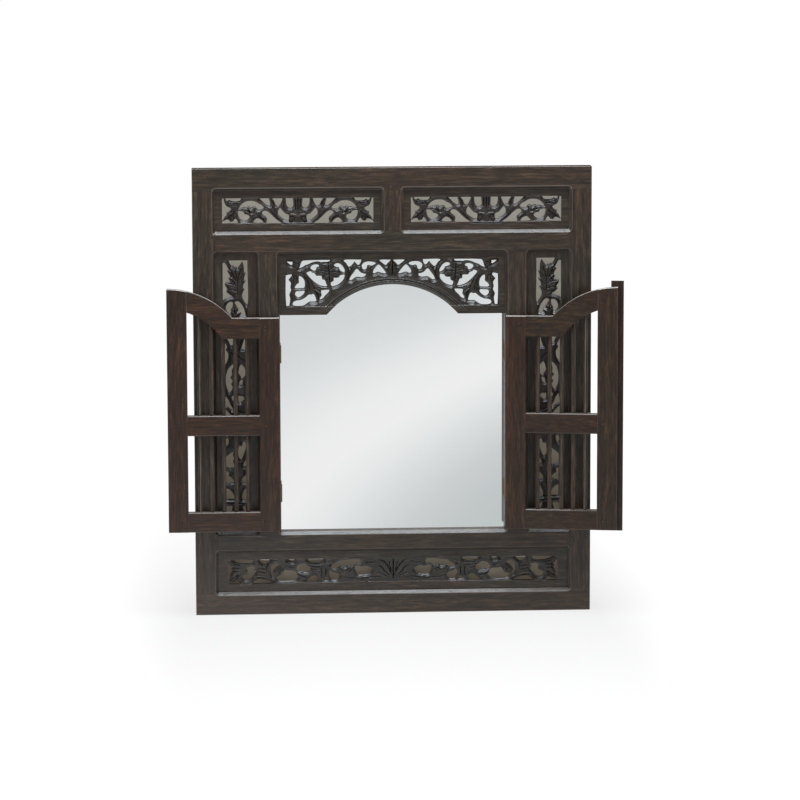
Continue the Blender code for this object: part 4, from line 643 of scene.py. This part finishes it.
# Carved panels, in mm. Each is drawn on a fine net, with its height below the front
NET_STEP = 0.9
NET_MARGIN = 4.5
NET_CLEAR = 0.4 * NET_STEP
RING_STEP = 0.7
PLAIN_STEP = 6.0
LONG_STRAIGHT = 30
RING_MERGED = 0.001 * MM
FRONT_NORMAL = -0.9
CORNER = math.radians(58)
OUTLINE_CORNER = math.radians(35)
CARVED_SHARP = math.radians(50)
CDT_INSIDE = 1
CDT_CLOSE = 1e-6

# Stems and leaves: rounded towards their edges, and fluted along their middle
SINK = 1.1
ROUND_RADIUS = 6.0
ROUND_DEPTH = 4.8
ROUND_POWER = 1.25
FLUTE_START = 2.4
FLUTE_FADE = 1.2
FLUTE_DEPTH = 0.7
FLUTE_PITCH = 3.4
ZONE_BLEND = 2.2
ZONE_REACH = 3
ZONE_FADE = 2

# Strokes: fine ones are grooves and ridges, wide ones are scoops. Painted highlights lie on rims,
# the grooves' lips and in the scoops, rubbing and painted highlight on ridges, and painted shade in
# the grooves
STROKE_SHARE = 1.3
STROKE_END_SHARE = 0.25
STROKE_TAPER = 4
SCOOP_WIDTH = 2.3
SCOOP_DEPTH = 3
GROOVE_DEPTH = 1.5
GROOVE_POWER = 1.5
RIM_PAINTED_HIGHLIGHT = 0.75
RIM_PLACE = 1.4
RIM_WIDTH = 0.8
RIDGE_WEAR_AND_HIGHLIGHT = 0.7
LIP_PLACE = 0.25
LIP_SPREAD = 0.2

# Veins, folds and lit edges: height in mm, half width, then points in mm outward from a panel's
# middle line of drawing and up from the frame's foot. Below nought is a groove
TOP_STROKES = (
    (-1.6, 1.3, (370, 927), (361, 922.5), (350, 921), (338, 923)),
    (-1.6, 1.3, (368, 921), (358, 918), (346, 917.5), (337, 920)),
    (-1.4, 1.2, (362, 930), (355, 926.5), (344, 925.5), (337, 926.5)),
    (-1.8, 1.6, (341, 908), (350, 901), (360, 892), (373, 883)),
    (-1.3, 1.2, (350, 901), (352, 893), (348, 887)),
    (-1.3, 1.2, (356, 896), (357, 889), (360, 884)),
    (-1.3, 1.2, (348, 903), (356, 904), (364, 899)),
    (-3.6, 5.2, (335, 933), (320, 934), (303, 934), (292, 930), (282, 923)),
    (-1.5, 1.4, (307, 911), (303, 907), (304, 901)),
    (-1.5, 1.4, (321, 911), (316, 906), (316, 899)),
    (1.0, 1.4, (334, 905), (323, 903), (314, 897), (306, 898)),
    (-1.6, 1.3, (333, 908), (322, 906), (312, 901), (304, 899)),
    (-1.7, 1.3, (302, 896), (294, 893), (286, 888), (281, 881)),
    (-1.4, 1.1, (300, 891), (292, 888), (285, 882)),
    (-1.5, 1.5, (283, 914), (272, 908), (262, 898), (252, 888), (243, 882)),
    (-1.3, 1.3, (268, 920), (264, 912), (257, 903), (252, 896)),
    (-1.4, 1.4, (268, 931), (263, 922), (259, 912)),
    (-1.4, 1.4, (239, 932), (241, 920), (238, 908), (228, 902)),
    (-1.7, 1.5, (214.5, 934), (214.5, 905)),
    (-1.3, 1.3, (208.75, 934), (208.75, 905)),
    (1.2, 1.9, (231, 893), (223, 897), (214, 896), (208.75, 892.5)),
    (-2.0, 1.6, (216, 881), (216.5, 889), (222.5, 892.5), (228, 888), (227, 881), (221.5, 880),
     (219.5, 885), (223, 887.5)),
    (-2.2, 2.2, (246, 875.5), (232, 875), (208.75, 875)),
)
ARCH_STROKES = (
    (-1.8, 1.6, (143, 789), (141, 775), (140, 760), (139.5, 742)),
    (-1.6, 1.4, (141, 768), (152, 771), (166, 773)),
    (-1.6, 1.4, (142, 772), (152, 781), (162, 787)),
    (-1.6, 1.4, (141, 772), (131, 779), (126, 786)),
    (-1.6, 1.4, (140, 767), (128, 769), (113, 765)),
    (-1.5, 1.4, (140, 762), (150, 760), (159, 756)),
    (-1.5, 1.4, (139, 762), (130, 759), (121, 757)),
    (-1.3, 1.2, (140, 752), (147, 750), (152, 752)),
    (-1.3, 1.2, (139, 751), (133, 748), (130, 750)),
    (-3.4, 4.4, (137, 795.5), (125, 795), (108, 792)),
    (-1.4, 1.3, (101, 784), (97, 772), (97, 758), (101, 747)),
    (-1.4, 1.3, (88, 782), (93, 770), (96, 757)),
    (-1.5, 1.4, (60, 768), (52, 771), (47, 777), (38, 784)),
    (-1.6, 1.4, (0, 793), (0, 776), (0, 760)),
    (-1.4, 1.3, (4, 788), (9, 778), (10, 766)),
    (-1.7, 1.3, (206, 773), (213, 777), (222, 782), (232, 789)),
    (-1.5, 1.2, (203, 777), (208, 782), (216, 786)),
    (-1.5, 1.2, (205, 787), (213, 788), (224, 790)),
    (-1.5, 1.3, (222, 764), (220, 754), (221, 742)),
    (-1.4, 1.2, (217, 764), (212, 756), (210, 746)),
    (-1.4, 1.2, (221, 756), (228, 751)),
    (-1.5, 1.5, (200, 764), (189, 750), (184, 735), (183, 720)),
    (-1.5, 1.5, (193, 764), (180, 748), (174, 735), (170, 722)),
    (-1.4, 1.3, (191, 742), (189, 730), (188, 719)),
    (1.2, 1.7, (173, 730), (165, 724), (158, 720)),
    (-1.8, 1.5, (172, 726), (166, 719), (163, 706)),
    (-1.5, 1.4, (168, 734), (155, 731), (142, 731)),
)
SIDE_STROKES = (
    (-1.6, 1.5, (343, 716), (344, 735), (343, 752), (336, 775), (332, 790)),
    (-1.6, 1.5, (346, 745), (352, 762), (361, 778), (368, 788)),
    (-1.4, 1.3, (345, 752), (347, 768), (350, 783)),
    (-1.4, 1.3, (341, 750), (334, 760), (327, 768)),
    (-1.4, 1.3, (341, 735), (334, 742), (327, 749)),
    (-1.4, 1.2, (341, 722), (336, 727), (330, 731)),
    (-1.5, 1.4, (346, 738), (356, 743), (370, 746)),
    (-1.4, 1.3, (346, 726), (356, 731), (367, 728)),
    (-1.3, 1.2, (346, 718), (355, 722), (362, 722)),
    (-1.3, 1.2, (349, 750), (356, 760), (364, 773)),
    (-1.0, 1.0, (352, 735), (362, 739)),
    (1.3, 1.7, (362, 758), (352, 753), (346, 745), (342, 740)),
    (-1.9, 1.5, (362, 754.5), (354, 749.5), (348, 742)),
    (-1.5, 1.3, (350, 674), (352, 688), (353, 700)),
    (-1.4, 1.2, (347, 676), (343, 688)),
    (-1.4, 1.2, (352, 680), (358, 685)),
    (-1.5, 1.4, (345, 668), (349, 650), (346, 625), (347, 600)),
    (-1.4, 1.3, (347, 640), (355, 632)),
    (-1.4, 1.3, (346, 632), (338, 628)),
    (-1.5, 1.4, (347, 600), (350, 582), (357, 566)),
    (-1.4, 1.3, (349, 588), (338, 578), (328, 570)),
    (-1.4, 1.3, (349, 580), (358, 590), (366, 592)),
    (-1.5, 1.4, (348, 560), (350, 545), (349, 528), (349, 508)),
    (-1.4, 1.3, (349, 540), (355, 532)),
    (-1.4, 1.3, (349, 532), (341, 526)),
    (-1.5, 1.4, (349, 505), (347, 480), (349, 455), (352, 440)),
    (-1.4, 1.3, (348, 475), (357, 480), (368, 500)),
    (-1.4, 1.3, (349, 462), (340, 456), (328, 452)),
    (-1.5, 1.4, (350, 436), (352, 415), (348, 398), (350, 384)),
    (-1.4, 1.3, (351, 405), (359, 398)),
    (-1.5, 1.4, (350, 380), (350, 360), (347, 340), (347, 322)),
    (-1.4, 1.3, (348, 345), (340, 340), (334, 345)),
    (-1.4, 1.3, (347, 325), (356, 318), (364, 318)),
    (-1.5, 1.4, (346, 318), (346, 300), (346, 282), (346, 266)),
    (-1.4, 1.3, (346, 295), (355, 288)),
    (-1.4, 1.3, (346, 288), (338, 296)),
    (-2.0, 1.8, (325, 259), (350, 259), (374, 259)),
    (-2.0, 1.8, (325, 250), (350, 250), (374, 250)),
    (-1.5, 1.4, (350, 246), (351, 230), (352, 210)),
    (-1.4, 1.3, (351, 226), (343, 232)),
)
BOTTOM_STROKES = (
    (-1.7, 1.3, (362, 104.5), (352, 103.5), (343, 103)),
    (-1.6, 1.2, (362, 97), (352, 96.5), (344, 96)),
    (-1.6, 1.2, (360, 114), (350, 111), (342, 109)),
    (-1.5, 1.3, (366, 76), (356, 83), (344, 90)),
    (-1.4, 1.2, (352, 75), (350, 82), (345, 88)),
    (-2.2, 2.4, (345, 67.5), (338, 65.5), (325, 66), (317, 69)),
    (1.2, 1.7, (313, 85.5), (305, 84.5), (292, 84.5), (283, 80.5)),
    (-1.7, 1.5, (310, 81), (298, 81), (286, 77)),
    (-1.5, 1.4, (308, 98), (296, 94), (284, 93)),
    (-1.4, 1.3, (306, 104), (295, 101), (284, 100)),
    (-1.4, 1.4, (280, 116), (284, 103), (283, 90)),
    (-3.6, 4.6, (274, 122), (258, 122.5), (240, 121.5)),
    (-2.2, 2.2, (240, 119), (238, 114)),
    (-1.5, 1.2, (264, 96), (256, 101), (248, 104)),
    (-1.5, 1.2, (258, 90), (252, 97), (245, 102)),
    (-1.5, 1.2, (251, 89), (247, 96), (241, 101)),
    (-1.4, 1.2, (240, 106), (230, 104), (221, 104)),
    (1.2, 1.4, (213, 90.5), (202, 85)),
    (-1.7, 1.3, (215, 88), (204, 82.5), (190, 80)),
    (-1.6, 1.3, (198, 112), (184, 106), (170, 105), (155, 107)),
    (-1.4, 1.2, (190, 102), (176, 98), (164, 98)),
    (-1.4, 1.2, (190, 113), (176, 111), (160, 112)),
    (-1.6, 1.5, (163, 104), (160, 92), (163, 80)),
    (-1.6, 1.5, (152, 104), (151, 92), (154, 83)),
    (1.3, 2.2, (149, 112), (146, 112)),
    (1.3, 2.0, (141, 114), (137, 115)),
    (-1.6, 1.4, (150, 108), (140, 107), (134, 112)),
    (-1.5, 1.3, (128, 99), (121, 92), (117, 87)),
    (-1.4, 1.2, (131, 102), (121, 100), (113, 94)),
    (-1.5, 1.3, (101, 90), (95, 97), (84, 103)),
    (-1.4, 1.2, (110, 92), (102, 98), (92, 104)),
    (-3.4, 4.2, (118, 122), (95, 124.5), (75, 125.5), (36, 125.5)),
    (-1.8, 1.5, (0, 76), (0, 98), (0, 121)),
    (-1.7, 1.4, (2, 82), (10, 100), (20, 114), (33, 121)),
    (-1.6, 1.3, (6, 80), (18, 92), (27, 103), (38, 108)),
    (-1.6, 1.3, (3, 92), (8, 106), (9, 117)),
    (-1.5, 1.3, (12, 80), (24, 86), (38, 90)),
    (-1.5, 1.3, (20, 77), (40, 80), (58, 78), (76, 80)),
    (-1.5, 1.3, (38, 116), (50, 112), (66, 112)),
    (-1.5, 1.3, (60, 76), (84, 77), (110, 80), (120, 86)),
)

# Twice the top panels' middle
TOP_SPAN = 417.5
PANELS = {
    # strokes, grain, then (sign, middle line) of each place they are laid from
    "top_left_panel": (TOP_STROKES, "X", ((-1, 0), (1, -TOP_SPAN))),
    "top_right_panel": (TOP_STROKES, "X", ((1, 0), (-1, TOP_SPAN))),
    "arch_panel": (ARCH_STROKES, "X", ((-1, 0), (1, 0))),
    "bottom_panel": (BOTTOM_STROKES, "X", ((-1, 0), (1, 0))),
    "left_side_panel": (SIDE_STROKES, "Z", ((-1, 0),)),
    "right_side_panel": (SIDE_STROKES, "Z", ((1, 0),)),
}


def front_rings(node):
    """A panel's front outlines as rings of (x, z) in mm, and its front's and back's y in mm."""
    shape = bmesh.new()
    shape.from_mesh(NODES[node].data)
    bmesh.ops.remove_doubles(shape, verts=shape.verts, dist=RING_MERGED)
    front = {face for face in shape.faces if face.normal.y < FRONT_NORMAL}
    following = {}
    for loop in [loop for face in shape.faces if face in front for loop in face.loops]:
        if not any(other in front for other in loop.edge.link_faces if other is not loop.face):
            following[loop.vert] = loop.link_loop_next.vert
    rings = []
    while following:
        start, vert = following.popitem()
        ring = [start]
        while vert is not start:
            ring.append(vert)
            vert = following.pop(vert)
        rings.append(np.array([(v.co.x, v.co.z - FLOOR_Z) for v in ring]) / MM)
    depths = [v.co.y / MM for v in shape.verts]
    shape.free()
    return rings, min(depths), max(depths)


def curve_through(before, start, end, after, steps):
    """Points of a centripetal Catmull-Rom curve from start up to end, without the end."""
    knots = [0.0]
    for first, second in ((before, start), (start, end), (end, after)):
        knots.append(knots[-1] + max(np.linalg.norm(second - first), 1e-6) ** 0.5)
    t0, t1, t2, t3 = knots
    t = np.linspace(t1, t2, steps, endpoint=False)[:, None]
    a1 = (t1 - t) / (t1 - t0) * before + (t - t0) / (t1 - t0) * start
    a2 = (t2 - t) / (t2 - t1) * start + (t - t1) / (t2 - t1) * end
    a3 = (t3 - t) / (t3 - t2) * end + (t - t2) / (t3 - t2) * after
    b1 = (t2 - t) / (t2 - t0) * a1 + (t - t0) / (t2 - t0) * a2
    b2 = (t3 - t) / (t3 - t1) * a2 + (t - t1) / (t3 - t1) * a3
    return (t2 - t) / (t2 - t1) * b1 + (t - t1) / (t2 - t1) * b2


def steps_between(start, end, step):
    """How many steps lead from one point to another."""
    return max(1, math.ceil(np.linalg.norm(end - start) / step))


def smooth_ring(ring, corner):
    """A ring drawn as smooth curves between its sharp corners."""
    ahead = np.roll(ring, -1, 0) - ring
    behind = ring - np.roll(ring, 1, 0)
    turn = np.arctan2(behind[:, 0] * ahead[:, 1] - behind[:, 1] * ahead[:, 0], (behind * ahead).sum(1))
    sharp = np.abs(turn) > corner
    points = []
    for n, start in enumerate(ring):
        following = (n + 1) % len(ring)
        end = ring[following]
        before = 2 * start - end if sharp[n] else ring[n - 1]
        after = 2 * end - start if sharp[following] else ring[(n + 2) % len(ring)]
        straight = sharp[n] and sharp[following] and np.linalg.norm(end - start) > LONG_STRAIGHT
        steps = steps_between(start, end, PLAIN_STEP if straight else RING_STEP)
        points.append(curve_through(before, start, end, after, steps))
    return np.concatenate(points)


def finely(ring):
    """A ring's points with its long straight runs filled in."""
    runs = []
    for start, end in zip(ring, np.roll(ring, -1, 0)):
        shares = np.linspace(0, 1, steps_between(start, end, RING_STEP), endpoint=False)
        runs.append(start + (end - start) * shares[:, None])
    return np.vstack(runs)


def smooth_line(points):
    """An open smooth line through points, in steps of about a millimetre."""
    points = np.array(points, float)
    ends = np.vstack((2 * points[0] - points[1], points, 2 * points[-1] - points[-2]))
    runs = [curve_through(*ends[n:n + 4], steps_between(ends[n + 1], ends[n + 2], 1.0))
            for n in range(len(points) - 1)]
    return np.vstack((*runs, points[-1:]))


def in_wood(segments, xs, level):
    """Whether places on a level lie in the wood that the rings' segments bound."""
    x0, z0, x1, z1 = segments
    hit = (z0 > level) != (z1 > level)
    crossings = np.sort(x0[hit] + (level - z0[hit]) / (z1[hit] - z0[hit]) * (x1[hit] - x0[hit]))
    return np.searchsorted(crossings, xs) % 2 == 1


def face_in_wood(segments, points, face):
    """Whether a face's middle lies in the wood."""
    x, z = points[list(face)].mean(0)
    return in_wood(segments, x, z)


def search_tree(points):
    """A search tree over (x, z) points."""
    tree = kdtree.KDTree(len(points))
    for n, (x, z) in enumerate(points):
        tree.insert((x, z, 0), n)
    tree.balance()
    return tree


def triangles(points, edges):
    """Points and faces of a Delaunay triangulation that keeps some edges."""
    points, _, faces, *_ = geometry.delaunay_2d_cdt([Vector(p) for p in points], edges, [],
                                                    CDT_INSIDE, CDT_CLOSE, False)
    return np.array([tuple(p) for p in points]), faces


def wood_net(segments, tree, left, right, foot, top):
    """The net's points that lie in the wood and clear of its edges."""
    net = []
    for n, level in enumerate(np.arange(foot + NET_STEP / 2, top, NET_STEP)):
        xs = np.arange(left + n % 2 * NET_STEP / 2, right, NET_STEP)
        net.extend((x, level) for x in xs[in_wood(segments, xs, level)])
    return np.array([point for point in net if tree.find((*point, 0))[2] > NET_CLEAR])


def stroke_height(x, z, strokes):
    """The height of ridges (above nought) and V grooves (below it) along smooth lines."""
    height = np.zeros(len(x))
    for depth, width, *points in strokes:
        line = smooth_line(points)
        near = np.nonzero((x > line[:, 0].min() - width) & (x < line[:, 0].max() + width)
                          & (z > line[:, 1].min() - width) & (z < line[:, 1].max() + width))[0]
        best = np.full(len(near), width, float)
        share = np.zeros(len(near))
        for n in range(len(line) - 1):
            along = line[n + 1] - line[n]
            to_x, to_z = x[near] - line[n, 0], z[near] - line[n, 1]
            t = np.clip((to_x * along[0] + to_z * along[1]) / max(along @ along, 1e-9), 0, 1)
            away = np.hypot(to_x - t * along[0], to_z - t * along[1])
            closer = away < best
            best[closer] = away[closer]
            share[closer] = (n + t[closer]) / (len(line) - 1)
        taper = np.minimum(1, STROKE_END_SHARE + STROKE_TAPER * np.minimum(share, 1 - share))
        height[near] += depth * taper * (1 - best / width)
    return height


def relief(x, z, away, inset, strokes):
    """The height of points, their rubbed tone with painted highlights, their cut and their painted
    shade in grooves, by their distance from a pierced edge and from the border of the carved zone."""
    cut = np.clip(inset / ZONE_BLEND, 0, 1)
    height = -SINK - ROUND_DEPTH * np.clip(1 - away / ROUND_RADIUS, 0, 1) ** ROUND_POWER
    inner = np.clip((away - FLUTE_START) / FLUTE_FADE, 0, 1)
    flutes = 0.5 - 0.5 * np.cos(2 * math.pi * (away - FLUTE_START) / FLUTE_PITCH)
    height = (height - FLUTE_DEPTH * inner * flutes) * cut
    near_zone = np.clip((inset + ZONE_REACH) / ZONE_FADE, 0, 1)
    lines = stroke_height(x, z, [stroke for stroke in strokes if stroke[1] < SCOOP_WIDTH])
    lines *= STROKE_SHARE * near_zone
    scoops = stroke_height(x, z, [stroke for stroke in strokes if stroke[1] >= SCOOP_WIDTH])
    scoops *= near_zone
    # Painted shade in the grooves, which the shader darkens
    groove = np.clip(-lines / GROOVE_DEPTH, 0, 1) ** GROOVE_POWER
    # Painted highlights near the pierced rims, on the grooves' lips and in the scoops; on ridges, partly
    # real rubbing
    worn_and_lit = (RIM_PAINTED_HIGHLIGHT * cut * np.exp(-((away - RIM_PLACE) / RIM_WIDTH) ** 2)
            + RIDGE_WEAR_AND_HIGHLIGHT * np.clip(lines, 0, 1))
    worn_and_lit += RIDGE_WEAR_AND_HIGHLIGHT * cut * np.clip(1 - np.abs(lines + LIP_PLACE) / LIP_SPREAD, 0, 1)
    worn_and_lit += np.clip(-scoops / SCOOP_DEPTH, 0, 1) ** 2
    return height + (lines + scoops), worn_and_lit, cut, groove


def arch_band(x, z, height, worn_and_lit):
    """The carved band along the arch: fine grooves, a twisted strand between them, painted highlights.
    """
    centre_x, centre_z, radius = ARCH_CIRCLE
    out = np.hypot(x - centre_x, z - centre_z) - radius
    along = np.arctan2(x - centre_x, z - centre_z) * radius
    near = (out > ARCH_BAND[0]) & (out < ARCH_BAND[1]) & (z > centre_z)
    end = np.clip((z - ARCH_FOOT) / ARCH_FADE, 0, 1)
    cuts = sum(depth * np.clip(1 - np.abs(out - at) / width, 0, 1) for at, depth, width in ARCH_GROOVES)
    strand = np.clip(1 - np.abs(out - STRAND_PLACE) / STRAND_WIDTH, 0, 1)
    turns = (np.abs(along) + STRAND_SLANT * out) * 2 * math.pi / STRAND_PITCH
    twist = strand * (0.5 + 0.5 * np.sin(turns)) * STRAND_DEPTH
    lip = np.clip(1 - out / LIP_WIDTH, 0, 1) * LIP_DEPTH
    height = np.where(near, height - end * (cuts + twist) - lip, height)
    # Painted highlights along the band's lit lines
    lit = sum(np.clip(1 - np.abs(out - at) / ARCH_LIT_WIDTH, 0, 1) for at in ARCH_LIT)
    return height, np.where(near, np.maximum(worn_and_lit, end * lit * ARCH_LIT_SHARE), worn_and_lit)


def carved(node, material, strokes, profile=None):
    """A panel's front carved with rounded stems and leaves, in place of its flat CAD solid."""
    rings, front, back = front_rings(node)
    widths = [np.ptp(ring[:, 0]) for ring in rings]
    rings = [smooth_ring(ring, OUTLINE_CORNER if width == max(widths) else CORNER)
             for ring, width in zip(rings, widths)]
    outline = rings[widths.index(max(widths))]
    segments = np.hstack([np.hstack((ring, np.roll(ring, -1, 0))).T for ring in rings])
    tree = search_tree(np.vstack([finely(ring) for ring in rings if profile or ring is not outline]))
    holes = np.vstack([ring for ring in rings if ring is not outline])
    (left, low), (right, high) = holes.min(0), holes.max(0)
    net = wood_net(segments, tree, left - NET_MARGIN, right + NET_MARGIN,
                   outline[:, 1].min() if profile else low - NET_MARGIN, high + NET_MARGIN)

    ring_points = np.vstack(rings)
    rim = len(ring_points)
    ends = np.cumsum([0] + [len(ring) for ring in rings])
    edges = [(n, n + 1 if n + 1 < ends[k + 1] else ends[k])
             for k in range(len(rings)) for n in range(ends[k], ends[k + 1])]
    points, faces = triangles(np.vstack((ring_points, net)), edges)
    front_faces = [face for face in faces if max(face) >= rim or face_in_wood(segments, points, face)]
    count = len(points)
    back_faces = [[count + v for v in reversed(face)] for face in triangles(ring_points, edges)[1]
                  if face_in_wood(segments, ring_points, face)]
    walls = [(a, b, count + b, count + a) for a, b in edges]

    x, z = points.T
    away = np.array([tree.find((*point, 0))[2] for point in points])
    inset = np.minimum(np.minimum(x - left, right - x), np.minimum(z - low, high - z))
    height, worn_and_lit, cut, groove = relief(x, z, away, inset, strokes)
    if profile:
        height, worn_and_lit = profile(x, z, height, worn_and_lit)
    verts = np.vstack((np.column_stack((x, front - np.minimum(height, 0), z)),
                       np.column_stack((x[:rim], np.full(rim, back), z[:rim]))))
    verts[:, 2] += FLOOR_Z / MM

    mesh = bpy.data.meshes.new(node + "_carved")
    mesh.from_pydata(verts * MM, [], front_faces + back_faces + walls)
    for layer, values in (("wear_and_highlight", worn_and_lit), ("cut", cut), ("groove", groove)):
        mesh.attributes.new(layer, "FLOAT", "POINT").data.foreach_set(
            "value", np.concatenate((values, np.zeros(rim))).astype(np.float32))
    # The pierced walls, marked for painted shade
    cut_faces = np.zeros(len(mesh.polygons), np.float32)
    cut_faces[len(front_faces) + len(back_faces):] = 1
    mesh.attributes.new("wall", "FLOAT", "FACE").data.foreach_set("value", cut_faces)
    mesh.update()
    mesh.shade_smooth()
    mesh.set_sharp_from_angle(angle=CARVED_SHARP)
    show(mesh, material, "frame", node)


def dress_panels():
    """Every carved panel."""
    for n, (node, (strokes, grain, places)) in enumerate(PANELS.items()):
        material = wood(node, grain, "carved", PANEL_START + n * PANEL_STEP)
        laid = [(depth, width, *((middle + sign * across, up) for across, up in points))
                for depth, width, *points in strokes for sign, middle in places]
        carved(node, material, laid, arch_band if node == "arch_panel" else None)


def dress_hardware():
    """Brass, steel, glass and board keep their CAD solids and get their finishes."""
    brass, steel = metal("aged_brass"), metal("dull_steel")
    finishes = {"mirror_glass": mirror_material(), "backing_board": board_material()}
    for name, node in NODES.items():
        if "leaf" in name or "hinge_pin" in name:
            finishes[name] = brass
        elif "backing_pin" in name or "hanger" in name:
            finishes[name] = steel
        if name in finishes:
            node.data.materials.clear()
            node.data.materials.append(finishes[name])


make_camera()
make_lights()
make_floor()
make_card()
dress_members()
dress_panels()
dress_hardware()
bpy.context.scene.view_settings.view_transform = "Standard"
